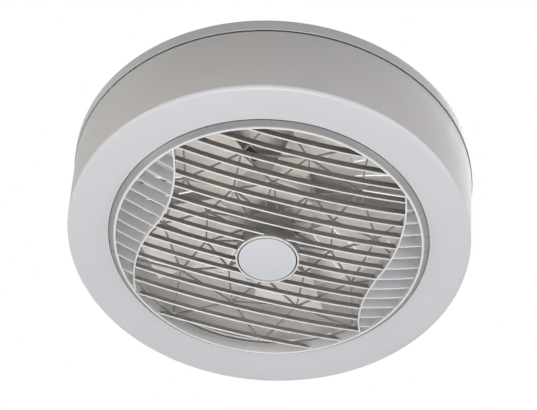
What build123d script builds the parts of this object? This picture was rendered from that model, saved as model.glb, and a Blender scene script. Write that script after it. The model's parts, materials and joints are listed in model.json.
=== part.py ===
from build123d import *
import os
from math import atan2, cos, degrees, hypot, radians, sin, sqrt, tan

# Ceiling fan with a ring light and a turning louvre grille.
# Millimetres, +Z up. The origin is the centre of the ceiling bracket's top face,
# so the whole fan hangs at negative z.

# Overall form
drum_radius = 275.0
canopy_height = 35.0
band_height = 19.5
groove_height = 2.5
drum_height = 114.4
rim_drop = 7.6
hub_drop = 31.0

# Walls
pan_wall = 2.0
shell_wall = 2.0
light_wall = 2.4
duct_wall = 2.0
canopy_wall = 1.2

# Clearances
seat_gap = 0.3
running_gap = 1.2
bearing_play = 0.05
hole_play = 0.25

# Top pan with its skirt band
band_overhang = 1.2
pan_hole_radius = 24.0
slot_count = 28
slot_width = 13.0
slot_inner_radius = 112.0
slot_rim_margin = 11.0

# Drum shell
neck_inset = 7.0
shell_tab_depth = 16.0
shell_tab_width = 16.0
shell_screw_count = 4

# Opal light ring
ring_width = 56.3
light_corner = 6.0
seam_gap = 0.4
light_lug_height = 10.4
light_lug_width = 14.0
light_inner_upstand = 13.9

# Air duct
duct_lug_depth = 8.0
duct_lug_width = 14.0
duct_lug_wall = 2.0

# Louvre grille
lip_width = 2.0
rim_flare = 7.3
rim_top_wall = 3.2
rim_rise = 19.5
slat_turn = 12.45
slat_height = 15.5
slat_wall = 1.8
slat_pitch = 20.2
slat_near_margin = 17.2
slat_far_margin = 10.0
even_slats = 13
spread_growth = 1.5
slat_lean = 22.8
slat_lean_gain = 0.034
side_lean = 17.0
slat_rim_recess = 3.0
slat_crown = 29.5
slat_crown_power = 2.5
curve_rib_wall = 2.4
curve_rib_proud = 0.8
curve_rib_start = (-167.0, -125.0)
curve_rib_bulge = (-150.5, -62.0)
curve_rib_middle = (-157.5, 3.0)
curve_rib_end = (-150.5, 144.5)

# Louvre hub and cap
hub_radius = 43.0
hub_wall = 2.2
hub_depth = 24.0
hub_floor_drop = 17.0
hub_floor_wall = 2.4
boss_radius = 8.0
boss_height = 6.0
cap_gap = 1.8
cap_wall = 3.0
cap_edge = 0.8
cap_leg_radius = 32.0
cap_leg_size = 4.0

# Louvre motor
louvre_shaft_radius = 3.0
louvre_motor_radius = 24.0
louvre_motor_height = 18.0
louvre_nut_radius = 5.5
louvre_nut_height = 4.0

# Finger guard
guard_gap = 4.8
guard_wall = 3.2
guard_rib = 2.4
guard_ring_width = 10.0
guard_cup_radius = 36.0
guard_cup_depth = 26.0
guard_cup_wall = 2.0
guard_nodes = 10
guard_ring_radii = (90.0, 146.0)
guard_screw_count = 4

# Fan motor
isolator_height = 8.0
isolator_radius = 8.0
isolator_circle = 84.0
isolator_count = 4
mount_plate_wall = 2.5
mount_arm_width = 34.0
mount_web_width = 74.0
rotor_drop = 14.5
rotor_radius = 54.0
rotor_height = 52.0
rotor_wall = 2.5
rotor_lid_wall = 3.0
shaft_radius = 6.0
shaft_collar_radius = 9.0
shaft_end_gap = 1.0
bearing_wall = 8.0
bearing_width = 8.0
bearing_seat_wall = 3.0
magnet_wall = 4.5
magnet_width = 22.0
air_gap = 0.7
stator_height = 20.0
stator_teeth = 12
stator_hub_wall = 6.0
tooth_width = 7.0
tooth_tip_width = 17.0
tooth_tip_depth = 3.0
coil_wall = 3.0

# Impeller
blade_count = 5
blade_wall = 2.2
blade_tip_gap = 16.0
blade_root_chord = 58.0
blade_tip_chord = 112.0
blade_pitch = 26.0
blade_camber = 0.09
blade_sweep = 26.0
blade_drop = 41.0
cup_gap = 3.0
cup_wall = 2.5
cup_floor_wall = 3.0
cup_height = 46.0
impeller_screw_count = 3
impeller_screw_circle = 34.0

# Light engine
tray_wall = 1.0
tray_rise = 23.4
led_bar_count = 12
led_bar_length = 108.0
led_bar_width = 14.0
led_bar_wall = 1.6
led_per_bar = 4
led_size = 3.5
led_height = 0.8
clip_count = 6
clip_width = 10.0
clip_wall = 0.8
clip_foot = 8.0

# Electrical parts
driver_length = 110.0
driver_height = 24.0
driver_angle = 90.0
receiver_length = 74.0
receiver_height = 20.0
receiver_angle = 210.0
box_play = 5.0
terminal_length = 36.0
terminal_width = 16.0
terminal_height = 14.0
terminal_well = 5.0
terminal_offset = 27.0
lead_radius = 2.0
lead_bend = 5.0
lead_hole_play = 0.4

# Ceiling bracket and canopy
canopy_radius = 72.0
ceiling_gap = 1.5
canopy_flange_inner = 46.0
bracket_wall = 2.0
bracket_width = 24.0
bracket_ear = 20.0
bracket_slot_spacing = 80.0
bracket_slot_length = 14.0
bracket_slot_radius = 3.0
bracket_cable_radius = 9.0
ear_screw_spacing = 12.0
ear_screw_drop = 12.0

# Small holes and fasteners are eight-sided, which keeps the model light
small_sides = 8
screw_radius = 2.0
screw_head_radius = 3.7
screw_head_height = 2.0
plate_screw_circle = 58.0
plate_screw_count = 4
screw_grip = 5.0

# Levels worked out from the sizes above
pan_top = -canopy_height
pan_under = pan_top - pan_wall
band_bottom = pan_top - band_height
shell_top = band_bottom - groove_height
light_face = shell_top - drum_height
lip_level = light_face - rim_drop
hub_level = lip_level - hub_drop
rim_top = lip_level + rim_rise
guard_under = rim_top + guard_gap
guard_top = guard_under + guard_wall
seam_level = light_face + light_corner
shell_bottom = seam_level + seam_gap
duct_bottom = light_face + light_inner_upstand

# Radii worked out from the sizes above
band_radius = drum_radius + band_overhang
shell_inner = drum_radius - shell_wall
neck_radius = drum_radius - neck_inset
light_opening = drum_radius - ring_width
rim_outer = light_opening - running_gap
lip_radius = rim_outer - rim_flare
rim_inner = lip_radius - lip_width
duct_inner = light_opening + seat_gap
duct_outer = duct_inner + duct_wall
hub_inner = hub_radius - hub_wall
cap_radius = hub_inner - cap_gap
canopy_inner = canopy_radius - canopy_wall


def turned(*points):
    """A solid turned about the vertical axis from a closed outline of (radius, z) points."""
    return revolve(Plane.XZ * make_face(Polyline(*points, close=True)), Axis.Z)


def disc(radius, low, high, hole=0.0):
    """An upright cylinder between two levels, with an optional round hole."""
    outline = Circle(radius) - Circle(hole) if hole else Circle(radius)
    return Pos(0, 0, low) * extrude(outline, high - low)


def prism(radius, low, high, hole=0.0):
    """A small eight-sided prism between two levels, with an optional hole."""
    outline = RegularPolygon(radius, small_sides)
    if hole:
        outline -= RegularPolygon(hole, small_sides)
    return Pos(0, 0, low) * extrude(outline, high - low)


def block(length, width, low, high):
    """A box centred on the axis between two levels."""
    return Pos(0, 0, (low + high) / 2) * Box(length, width, high - low)


def spread(shape, count, start=0.0):
    """Copies of a shape at equal angles about the vertical axis."""
    return [Rot(0, 0, start + 360.0 * i / count) * shape for i in range(count)]


def screw_down(x, y, seat, length):
    """A pan-head screw with its head above the seat and its shank pointing down."""
    head = prism(screw_head_radius, seat, seat + screw_head_height)
    return Pos(x, y, 0) * (head + prism(screw_radius, seat - length, seat))


def screw_up(x, y, seat, length):
    """A pan-head screw with its head below the seat and its shank pointing up."""
    head = prism(screw_head_radius, seat - screw_head_height, seat)
    return Pos(x, y, 0) * (head + prism(screw_radius, seat, seat + length))


def save(node, solids):
    """Writes one named sub-part, as one solid or as a group of separate solids."""
    flat = [s for item in solids for s in item.solids()]
    export_step(Compound(children=flat), os.path.join("parts", node + ".step"))


# Ceiling bracket: a strip with two turned-down ears
ear_outer = sqrt((canopy_inner - seat_gap) ** 2 - (bracket_width / 2) ** 2)
ear_inner = ear_outer - bracket_wall


def ceiling_bracket():
    strip = block(2 * ear_outer, bracket_width, -bracket_wall, 0)
    ear = Pos(ear_outer - bracket_wall / 2, 0, -bracket_ear / 2) * Box(bracket_wall, bracket_width, bracket_ear)
    body = strip + ear + Rot(0, 0, 180) * ear
    slot = SlotOverall(bracket_slot_length, 2 * bracket_slot_radius)
    for side in (-1, 1):
        body -= Pos(side * bracket_slot_spacing / 2, 0, -bracket_wall) * extrude(slot, bracket_wall)
    body -= disc(bracket_cable_radius, -bracket_wall, 0)
    return body - canopy_side_holes(screw_radius + bearing_play, ear_inner - 1, ear_outer + 1)


def canopy_side_holes(radius, start, stop):
    """Cutters along X for the canopy's four side screws."""
    cutter = Pos(0, 0, -ear_screw_drop) * Rot(0, 90, 0) * prism(radius, start, stop)
    pair = Pos(0, ear_screw_spacing / 2, 0) * cutter + Pos(0, -ear_screw_spacing / 2, 0) * cutter
    return pair + Rot(0, 0, 180) * pair


def canopy():
    cup = turned(
        (canopy_inner, -ceiling_gap),
        (canopy_radius, -ceiling_gap),
        (canopy_radius, pan_top),
        (canopy_flange_inner, pan_top),
        (canopy_flange_inner, pan_top + canopy_wall),
        (canopy_inner, pan_top + canopy_wall),
    )
    cup -= canopy_side_holes(screw_radius + hole_play, ear_outer, canopy_radius + 1)
    hole = prism(screw_radius + hole_play, pan_top, pan_top + canopy_wall)
    return cup - spread(Pos(plate_screw_circle, 0, 0) * hole, plate_screw_count, 45)


def canopy_screws():
    head_seat = canopy_radius + bearing_play
    length = head_seat - ear_inner + 1
    screw = screw_down(0, 0, head_seat, length)
    laid = Pos(0, 0, -ear_screw_drop) * Rot(0, 90, 0) * screw
    pair = [Pos(0, side * ear_screw_spacing / 2, 0) * laid for side in (-1, 1)]
    return pair + [Rot(0, 0, 180) * s for s in pair]


def plate_screws():
    seat = pan_top + canopy_wall
    screw = screw_down(plate_screw_circle, 0, seat, canopy_wall + pan_wall + screw_grip / 2)
    return spread(screw, plate_screw_count, 45)


# Top pan: a shallow drawn cover whose skirt makes the band above the drum
shell_screw_circle = neck_radius - shell_wall - shell_tab_depth / 2


def top_pan():
    skirt_inner = band_radius - pan_wall
    slot_outer_radius = duct_inner - slot_rim_margin
    pan = turned(
        (pan_hole_radius, pan_top),
        (pan_hole_radius, pan_under),
        (skirt_inner, pan_under),
        (skirt_inner, band_bottom),
        (band_radius, band_bottom),
        (band_radius, pan_top),
    )
    slot = Rectangle(slot_outer_radius - slot_inner_radius, slot_width)
    slot = Pos((slot_outer_radius + slot_inner_radius) / 2, 0) * slot
    cutters = spread(Pos(0, 0, pan_under) * extrude(slot, pan_wall), slot_count, 180.0 / slot_count)
    hole = prism(screw_radius + hole_play, pan_under, pan_top)
    cutters += spread(Pos(plate_screw_circle, 0, 0) * hole, plate_screw_count, 45)
    cutters += spread(Pos(isolator_circle, 0, 0) * hole, isolator_count, 45)
    cutters += spread(Pos(shell_screw_circle, 0, 0) * hole, shell_screw_count, 45)
    return pan - cutters


def drum_shell():
    """The drum's side wall, with the neck that makes the dark groove and the tabs under the pan."""
    neck_inner = neck_radius - shell_wall
    shell = turned(
        (drum_radius, shell_bottom),
        (drum_radius, shell_top),
        (neck_radius, shell_top),
        (neck_radius, pan_under),
        (neck_inner, pan_under),
        (neck_inner, shell_top - shell_wall),
        (shell_inner, shell_top - shell_wall),
        (shell_inner, shell_bottom),
    )
    tab = block(shell_tab_depth + shell_wall, shell_tab_width, pan_under - shell_wall, pan_under)
    hole = prism(screw_radius + hole_play, pan_under - shell_wall, pan_under)
    tab = Pos(shell_screw_circle + shell_wall / 2, 0, 0) * tab - Pos(shell_screw_circle, 0, 0) * hole
    return shell.fuse(*spread(tab, shell_screw_count, 45))


def shell_screws():
    screw = screw_down(shell_screw_circle, 0, pan_top, pan_wall + shell_wall + screw_grip / 2)
    return spread(screw, shell_screw_count, 45)


# Opal light ring: the flat face round the grille, bevelled up to the drum wall
light_lug_wall = light_wall - seat_gap
light_lug_outer = shell_inner - seat_gap
light_lug_inner = light_lug_outer - light_wall


def light_ring():
    inside = light_face + light_wall
    inner_wall = light_opening + light_wall
    ring = turned(
        (light_opening, light_face),
        (drum_radius - light_corner, light_face),
        (drum_radius, seam_level),
        (light_lug_inner, seam_level),
        (light_lug_inner, inside),
        (inner_wall, inside),
        (inner_wall, duct_bottom),
        (light_opening, duct_bottom),
    )
    lug = block(light_lug_wall, light_lug_width, inside, seam_level + light_lug_height)
    lug = Pos(light_lug_outer - light_lug_wall / 2, 0, 0) * lug
    return ring.fuse(*spread(lug, clip_count, 180.0 / led_bar_count))


# Air duct round the impeller, with lugs for the finger guard and tabs under the pan
guard_ring_outer = duct_inner - seat_gap
guard_screw_circle = duct_inner - duct_lug_depth / 2
lead_level = pan_under - duct_lug_wall - 2 * lead_radius


def air_duct():
    duct = disc(duct_outer, duct_bottom, pan_under, duct_inner)
    hole = prism(screw_radius + hole_play, guard_top, guard_top + duct_lug_wall)
    lug = block(duct_lug_depth + duct_wall, duct_lug_width, guard_top, guard_top + duct_lug_wall)
    lug = Pos(duct_inner + duct_wall / 2 - duct_lug_depth / 2, 0, 0) * lug - Pos(guard_screw_circle, 0, 0) * hole
    tab = block(duct_lug_depth + duct_wall, duct_lug_width, pan_under - duct_lug_wall, pan_under)
    tab = Pos(duct_inner + duct_wall / 2 + duct_lug_depth / 2, 0, 0) * tab
    duct = duct.fuse(*spread(lug, guard_screw_count, 45), *spread(tab, guard_screw_count, 45))
    lead_hole = Rot(-90, 0, 0) * prism(lead_radius + lead_hole_play, duct_inner - duct_wall, duct_outer + duct_wall)
    return duct - Pos(0, 0, lead_level) * lead_hole


# Finger guard: a flat net of straight ribs between a ring and a middle cup
def polar(radius, angle):
    return (radius * cos(radians(angle)), radius * sin(radians(angle)))


def rib_between(start, end):
    """A straight flat rib between two plan points, with its ends run on by half its width."""
    length = hypot(end[0] - start[0], end[1] - start[1])
    angle = degrees(atan2(end[1] - start[1], end[0] - start[0]))
    middle = ((start[0] + end[0]) / 2, (start[1] + end[1]) / 2)
    return Pos(*middle) * Rot(0, 0, angle) * Rectangle(length + guard_rib, guard_rib)


def guard_net():
    """The plan of the zigzag ribs and of the two rings of straight bars that join them."""
    step = 360.0 / guard_nodes
    radii = (guard_cup_radius - guard_rib, *guard_ring_radii, guard_ring_outer - guard_ring_width / 2)
    ribs = []
    for level in range(len(radii) - 1):
        turn = step / 2 * level
        for i in range(guard_nodes):
            inner = polar(radii[level], turn + step * i)
            for side in (-1, 1):
                ribs.append(rib_between(inner, polar(radii[level + 1], turn + step * (i + side / 2))))
    for level in range(1, len(radii) - 1):
        turn = step / 2 * level
        for i in range(guard_nodes):
            ribs.append(rib_between(polar(radii[level], turn + step * i), polar(radii[level], turn + step * (i + 1))))
    return Sketch() + ribs


def finger_guard():
    cup_floor = guard_under - guard_cup_depth
    cup_inner = guard_cup_radius - guard_cup_wall
    cup = turned(
        (0, cup_floor),
        (guard_cup_radius, cup_floor),
        (guard_cup_radius, guard_top),
        (cup_inner, guard_top),
        (cup_inner, cup_floor + guard_cup_wall),
        (0, cup_floor + guard_cup_wall),
    )
    net = guard_net() - Circle(cup_inner + guard_cup_wall / 2)
    ring = Circle(guard_ring_outer) - Circle(guard_ring_outer - guard_ring_width)
    plate = Pos(0, 0, guard_under) * extrude(ring + net, guard_wall)
    guard = cup + plate
    guard -= disc(louvre_shaft_radius + 1, cup_floor, cup_floor + guard_cup_wall)
    hole = prism(screw_radius + hole_play, guard_under, guard_top)
    return guard - spread(Pos(guard_screw_circle, 0, 0) * hole, guard_screw_count, 45)


def guard_screws():
    screw = screw_up(guard_screw_circle, 0, guard_under, guard_wall + duct_lug_wall + screw_grip / 2)
    return spread(screw, guard_screw_count, 45)


# Louvre motor: a flat geared can in the guard's cup, with its output shaft pointing down
louvre_motor_under = guard_under - guard_cup_depth + guard_cup_wall
hub_floor_top = hub_level + hub_floor_drop + hub_floor_wall
hub_floor_under = hub_level + hub_floor_drop
louvre_shaft_top = louvre_motor_under + louvre_motor_height / 2


def louvre_motor():
    can = disc(louvre_motor_radius, louvre_motor_under, louvre_motor_under + louvre_motor_height)
    return can - disc(louvre_shaft_radius + bearing_play, louvre_motor_under, louvre_shaft_top + bearing_play)


def louvre_shaft():
    return disc(louvre_shaft_radius, hub_floor_under - louvre_nut_height, louvre_shaft_top)


def louvre_nut():
    nut = extrude(RegularPolygon(louvre_nut_radius, 6) - Circle(louvre_shaft_radius), louvre_nut_height)
    return Pos(0, 0, hub_floor_under - louvre_nut_height) * nut


# Louvre grille: rim, leaning slats with bowed edges, two S-shaped ribs and the hub
slat_reach = rim_inner + lip_width / 2
tall = 2 * (hub_drop + rim_rise)


def slat_edge_height(radius):
    """Height over the lip of the slats' lower edges: a dome that hangs lowest at the hub."""
    share = radius / rim_inner
    return slat_rim_recess - slat_crown * (1 - share**slat_crown_power)


def bow_height(offset, lean, along):
    """Height over the lip of one leaning slat's lower edge, at a place along the slat."""
    height = 0.0
    for _ in range(4):
        across = offset + height * tan(radians(lean))
        height = slat_edge_height(hypot(along, across))
    return height


def slat_positions():
    """Plan offsets of the slats at lip level: an even row, then gaps that grow up to the far side."""
    places = [slat_near_margin - rim_inner]
    gap = slat_pitch
    while places[-1] + gap < rim_inner - slat_far_margin:
        places.append(places[-1] + gap)
        if len(places) >= even_slats:
            gap += spread_growth
    return places


def leaning_slat(offset, lean):
    """A flat strip across the whole grille with bowed long edges, leaning over by an angle."""
    slope = cos(radians(lean))
    reach = sqrt(slat_reach**2 - offset**2) + slat_wall
    depth = Vector(0, slat_height / slope)
    places = [reach * i / 3 for i in range(-3, 4)]
    lower = Spline(*[(x, bow_height(offset, lean, x) / slope) for x in places])
    upper = Pos(*depth) * lower
    ends = [Line(lower @ 0, upper @ 0), Line(lower @ 1, upper @ 1)]
    strip = extrude(Plane.XZ * make_face([lower, upper, *ends]), slat_wall / 2, both=True)
    return Pos(0, offset, lip_level) * Rot(-lean, 0, 0) * strip


def middle_zone(margin=0.0):
    """The plan area between the two S-shaped ribs, widened by a margin, as a tall prism."""
    first = ThreePointArc(curve_rib_start, curve_rib_bulge, curve_rib_middle)
    second = TangentArc(curve_rib_middle, curve_rib_end, tangent=first % 1)
    left = Pos(-margin, 0) * (first + second)
    right = Rot(0, 0, 180) * left
    near, far = left @ 0, left @ 1
    beyond = Vector(0, drum_radius)
    outline = left + Polyline(far, far + beyond, beyond - near, -near)
    outline += right + Polyline(-far, -far - beyond, near - beyond, near)
    return Pos(0, 0, lip_level - tall / 2) * extrude(make_face(outline.edges()), tall)


def curve_ribs():
    """The two S-shaped ribs, a little deeper than the slats, with their edges on a cone along the dome."""
    inner, outer = abs(curve_rib_bulge[0]) - slat_pitch, slat_reach
    rise = slat_edge_height(outer) - slat_edge_height(inner)
    sag = slat_edge_height(inner) + rise / 2 - slat_edge_height((inner + outer) / 2)
    low = lip_level + slat_edge_height(inner) - sag / 2 - curve_rib_proud
    depth = slat_height + 2 * curve_rib_proud
    layer = turned((inner, low), (outer, low + rise), (outer, low + rise + depth), (inner, low + depth))
    return layer & (middle_zone(curve_rib_wall / 2) - middle_zone(-curve_rib_wall / 2))


def louvre_slats():
    """The slats between the S-shaped ribs, and the ones outside them that lean the other way."""
    inner_zone = middle_zone(curve_rib_wall / 4)
    outer_zone = middle_zone(-curve_rib_wall / 4)
    trim = disc(slat_reach, lip_level - tall / 2, lip_level + tall / 2, hub_radius - hub_wall / 2)
    drop = slat_edge_height(hypot(*curve_rib_middle))
    pieces = []
    for offset in slat_positions():
        lean = slat_lean + slat_lean_gain * offset
        shift = drop * (tan(radians(lean)) + tan(radians(side_lean)))
        pieces.append(leaning_slat(offset, lean) & trim & inner_zone)
        pieces.append((leaning_slat(offset + shift, -side_lean) & trim) - outer_zone)
    return [s for piece in pieces if piece is not None for s in piece.solids() if s.volume > slat_height]


def louvre_grille():
    rim = turned(
        (rim_inner, lip_level),
        (lip_radius, lip_level),
        (rim_outer, light_face),
        (rim_inner + rim_top_wall, rim_top),
        (rim_inner, rim_top),
    )
    hub_top = hub_level + hub_depth
    hub = turned(
        (hub_inner, hub_level),
        (hub_radius, hub_level),
        (hub_radius, hub_top),
        (hub_inner, hub_top),
        (hub_inner, hub_floor_top),
        (boss_radius, hub_floor_top),
        (boss_radius, hub_floor_top + boss_height),
        (louvre_shaft_radius, hub_floor_top + boss_height),
        (louvre_shaft_radius, hub_floor_under),
        (hub_inner, hub_floor_under),
    )
    inside = [Rot(0, 0, slat_turn) * s for s in [*curve_ribs().solids(), *louvre_slats()]]
    return rim.fuse(hub, *inside)


def centre_cap():
    """The round cap in the hub, set back by a dark gap and carried on three legs."""
    face = turned(
        (0, hub_level),
        (cap_radius - cap_edge, hub_level),
        (cap_radius, hub_level + cap_edge),
        (cap_radius, hub_level + cap_wall),
        (0, hub_level + cap_wall),
    )
    leg = Pos(cap_leg_radius, 0, 0) * block(cap_leg_size, 2 * cap_leg_size, hub_level + cap_wall, hub_floor_under)
    for copy in spread(leg, 3):
        face += copy
    return face


# Fan motor: a fixed shaft and stator inside a turning can
mount_top = pan_under - isolator_height
mount_under = mount_top - mount_plate_wall
rotor_top = mount_under - rotor_drop
rotor_bottom = rotor_top - rotor_height
lid_top = rotor_bottom + rotor_lid_wall
bearing_bore = shaft_radius + bearing_play
bearing_outer_radius = bearing_bore + bearing_wall
seat_outer_radius = bearing_outer_radius + bearing_seat_wall
upper_bearing_low = rotor_top - bearing_width
lower_bearing_low = rotor_bottom
can_inner = rotor_radius - rotor_wall
magnet_face = sqrt((can_inner - bearing_play) ** 2 - (magnet_width / 2) ** 2) - magnet_wall
stator_radius = magnet_face - air_gap
stator_low = (upper_bearing_low + lower_bearing_low + bearing_width) / 2 - stator_height / 2


def motor_isolators():
    bush = prism(isolator_radius, mount_top, pan_under, screw_radius + hole_play)
    return spread(Pos(isolator_circle, 0, 0) * bush, isolator_count, 45)


def isolator_screws():
    screw = screw_down(isolator_circle, 0, pan_top, pan_wall + isolator_height + mount_plate_wall + 1)
    return spread(screw, isolator_count, 45)


def motor_mount():
    """A stamped cross that carries the fixed shaft."""
    arm = Rectangle(2 * isolator_circle + mount_arm_width, mount_arm_width)
    web = Rectangle(mount_web_width, mount_web_width)
    plan = Rot(0, 0, 45) * arm + Rot(0, 0, -45) * arm + web
    cross = Pos(0, 0, mount_under) * extrude(plan - Circle(shaft_radius), mount_plate_wall)
    hole = prism(screw_radius + hole_play, mount_under, mount_top)
    return cross - spread(Pos(isolator_circle, 0, 0) * hole, isolator_count, 45)


def motor_shaft():
    """The fixed shaft, with the collar that the mount plate rests on."""
    return turned(
        (0, rotor_bottom + shaft_end_gap),
        (shaft_radius, rotor_bottom + shaft_end_gap),
        (shaft_radius, rotor_top + shaft_end_gap),
        (shaft_collar_radius, rotor_top + shaft_end_gap),
        (shaft_collar_radius, mount_under),
        (shaft_radius, mount_under),
        (shaft_radius, pan_under),
        (0, pan_under),
    )


def shaft_nut():
    nut = extrude(RegularPolygon(1.8 * shaft_radius, 6) - Circle(shaft_radius), isolator_height - 1)
    return Pos(0, 0, mount_top) * nut


def motor_bearings():
    """The two ball bearings, each drawn as one sealed ring that turns on the fixed shaft."""
    ring = disc(bearing_outer_radius, 0, bearing_width, bearing_bore)
    return [Pos(0, 0, upper_bearing_low) * ring, Pos(0, 0, lower_bearing_low) * ring]


def rotor_can():
    """The upper bell of the motor, with the upper bearing's seat."""
    return turned(
        (bearing_outer_radius, rotor_top),
        (rotor_radius, rotor_top),
        (rotor_radius, lid_top),
        (can_inner, lid_top),
        (can_inner, rotor_top - rotor_wall),
        (seat_outer_radius, rotor_top - rotor_wall),
        (seat_outer_radius, upper_bearing_low),
        (bearing_outer_radius, upper_bearing_low),
    )


def rotor_lid():
    """The lower lid of the motor, with the lower bearing's seat."""
    seat_top = lower_bearing_low + bearing_width
    lid = turned(
        (bearing_outer_radius, rotor_bottom),
        (rotor_radius, rotor_bottom),
        (rotor_radius, lid_top),
        (seat_outer_radius, lid_top),
        (seat_outer_radius, seat_top),
        (bearing_outer_radius, seat_top),
    )
    hole = prism(screw_radius + bearing_play, rotor_bottom, lid_top)
    return lid - spread(Pos(impeller_screw_circle, 0, 0) * hole, impeller_screw_count)


def rotor_magnets():
    """Flat block magnets round the inside of the can."""
    margin = stator_height / 5
    magnet = block(magnet_wall, magnet_width, stator_low - margin, stator_low + stator_height + margin)
    return spread(Pos(magnet_face + magnet_wall / 2, 0, 0) * magnet, stator_teeth)


def stator_core():
    """The laminated star on the fixed shaft: a hub, straight teeth and wider tooth tips."""
    hub_outer = shaft_radius + stator_hub_wall
    tip_outer = sqrt(stator_radius**2 - (tooth_tip_width / 2) ** 2)
    tip_inner = tip_outer - tooth_tip_depth
    tooth = Pos(tip_inner / 2, 0) * Rectangle(tip_inner, tooth_width)
    tip = Pos(tip_outer - tooth_tip_depth / 2, 0) * Rectangle(tooth_tip_depth, tooth_tip_width)
    plan = Circle(hub_outer)
    for i in range(stator_teeth):
        plan += Rot(0, 0, 360.0 * i / stator_teeth) * (tooth + tip)
    return Pos(0, 0, stator_low) * extrude(plan - Circle(shaft_radius), stator_height)


def stator_coils():
    """One wound coil on each tooth."""
    start = (tooth_width / 2 + coil_wall) / tan(radians(180.0 / stator_teeth)) + seat_gap
    stop = sqrt(stator_radius**2 - (tooth_tip_width / 2) ** 2) - tooth_tip_depth - seat_gap
    outer = Box(stop - start, tooth_width + 2 * coil_wall, stator_height + 2 * coil_wall)
    coil = outer - Box(stop - start, tooth_width + seat_gap, stator_height + seat_gap)
    middle = Pos((start + stop) / 2, 0, stator_low + stator_height / 2)
    return spread(middle * coil, stator_teeth)


# Impeller: a cup round the motor with swept, cambered blades
cup_inner = rotor_radius + cup_gap
cup_outer = cup_inner + cup_wall
blade_tip_radius = duct_inner - blade_tip_gap
cup_floor_low = rotor_bottom - cup_floor_wall
blade_middle_level = rotor_top - blade_drop


def blade():
    """A broad cambered sheet at one pitch, cut in plan so that it widens and sweeps towards its tip."""
    half = blade_tip_chord / 2
    rise = blade_camber * blade_tip_chord
    outline = [
        ThreePointArc((-half, 0), (0, rise), (half, 0)),
        Line((half, 0), (half, -blade_wall)),
        ThreePointArc((half, -blade_wall), (0, rise - blade_wall), (-half, -blade_wall)),
        Line((-half, -blade_wall), (-half, 0)),
    ]
    side_on = Plane(origin=(0, blade_sweep / 2, blade_middle_level), x_dir=(0, 1, 0), z_dir=(1, 0, 0))
    sheet = extrude(side_on * Rot(0, 0, blade_pitch) * make_face(outline), blade_tip_radius)
    root_half = blade_root_chord / 2
    tip_half = half * cos(radians(blade_pitch))
    plan = Polyline(
        (0, -root_half),
        (cup_outer, -root_half),
        (blade_tip_radius, blade_sweep - tip_half),
        (blade_tip_radius, blade_sweep + tip_half),
        (cup_outer, root_half),
        (0, root_half),
        close=True,
    )
    plan_prism = Pos(0, 0, rotor_bottom) * extrude(make_face(plan), rotor_height)
    wheel_space = disc(blade_tip_radius, rotor_bottom, rotor_top, cup_inner + cup_wall / 2)
    return sheet & plan_prism & wheel_space


def impeller():
    cup = turned(
        (0, cup_floor_low),
        (cup_outer, cup_floor_low),
        (cup_outer, cup_floor_low + cup_height),
        (cup_inner, cup_floor_low + cup_height),
        (cup_inner, rotor_bottom),
        (0, rotor_bottom),
    )
    wheel = cup.fuse(*spread(blade(), blade_count))
    hole = prism(screw_radius + hole_play, cup_floor_low, rotor_bottom)
    return wheel - spread(Pos(impeller_screw_circle, 0, 0) * hole, impeller_screw_count)


def impeller_screws():
    screw = screw_up(impeller_screw_circle, 0, cup_floor_low, cup_floor_wall + rotor_lid_wall + 1)
    return spread(screw, impeller_screw_count)


# Light engine: a twelve-sided tray, straight bars of light-emitting diodes, and the ring's spring clips
tray_under = light_face + tray_rise
tray_top = tray_under + tray_wall
bay_inner = duct_outer + seat_gap
half_side = radians(180.0 / led_bar_count)
tray_flat_radius = (shell_inner - seat_gap) * cos(half_side)
bar_circle = (bay_inner + tray_flat_radius) / 2


def led_tray():
    outer = RegularPolygon(shell_inner - seat_gap, led_bar_count)
    inner = RegularPolygon(bay_inner / cos(half_side), led_bar_count)
    turn = Rot(0, 0, 180.0 / led_bar_count)
    return Pos(0, 0, tray_under) * turn * extrude(outer - inner, tray_wall)


def led_bars():
    bar = Pos(bar_circle, 0, tray_under - led_bar_wall / 2) * Box(led_bar_width, led_bar_length, led_bar_wall)
    return spread(bar, led_bar_count)


def led_chips():
    level = tray_under - led_bar_wall - led_height / 2
    pitch = led_bar_length / led_per_bar
    chips = []
    for i in range(led_per_bar):
        chip = Pos(bar_circle, pitch * (i - (led_per_bar - 1) / 2), level) * Box(led_size, led_size, led_height)
        chips += spread(chip, led_bar_count)
    return chips


def light_clips():
    """Bent spring clips under the tray that press on the inside of the light ring's lugs."""
    leg_outer = light_lug_outer - light_lug_wall - seat_gap
    leg_low = seam_level + light_lug_height / 2
    outline = Polyline(
        (leg_outer - clip_foot, tray_under),
        (leg_outer, tray_under),
        (leg_outer, leg_low),
        (leg_outer - clip_wall, leg_low),
        (leg_outer - clip_wall, tray_under - clip_wall),
        (leg_outer - clip_foot, tray_under - clip_wall),
        close=True,
    )
    clip = Pos(0, clip_width / 2, 0) * extrude(Plane.XZ * make_face(outline), clip_width)
    return spread(clip, clip_count, 180.0 / led_bar_count)


# Electrical parts in the bay between the duct and the shell, and in the canopy
box_inner = bay_inner + seat_gap


def bay_box(length, height, angle):
    """A plain housing that stands on the tray and fits between the duct and the shell."""
    far_corner = shell_inner - box_play
    depth = sqrt(far_corner**2 - (length / 2) ** 2) - box_inner
    box = Pos(box_inner + depth / 2, 0, tray_top + height / 2) * Box(depth, length, height)
    box = chamfer(box.edges().group_by(Axis.Z)[-1], 1.5)
    return Rot(0, 0, angle) * box


def led_driver():
    return bay_box(driver_length, driver_height, driver_angle)


def receiver_box():
    return bay_box(receiver_length, receiver_height, receiver_angle)


def terminal_block():
    body = Box(terminal_length, terminal_width, terminal_height)
    well = Box(terminal_well, terminal_well, terminal_height)
    for i in (-1, 0, 1):
        body -= Pos(i * terminal_length / 3.6, 0, terminal_height / 2) * well
    return Pos(0, terminal_offset + terminal_width / 2, pan_top + terminal_height / 2) * body


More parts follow.
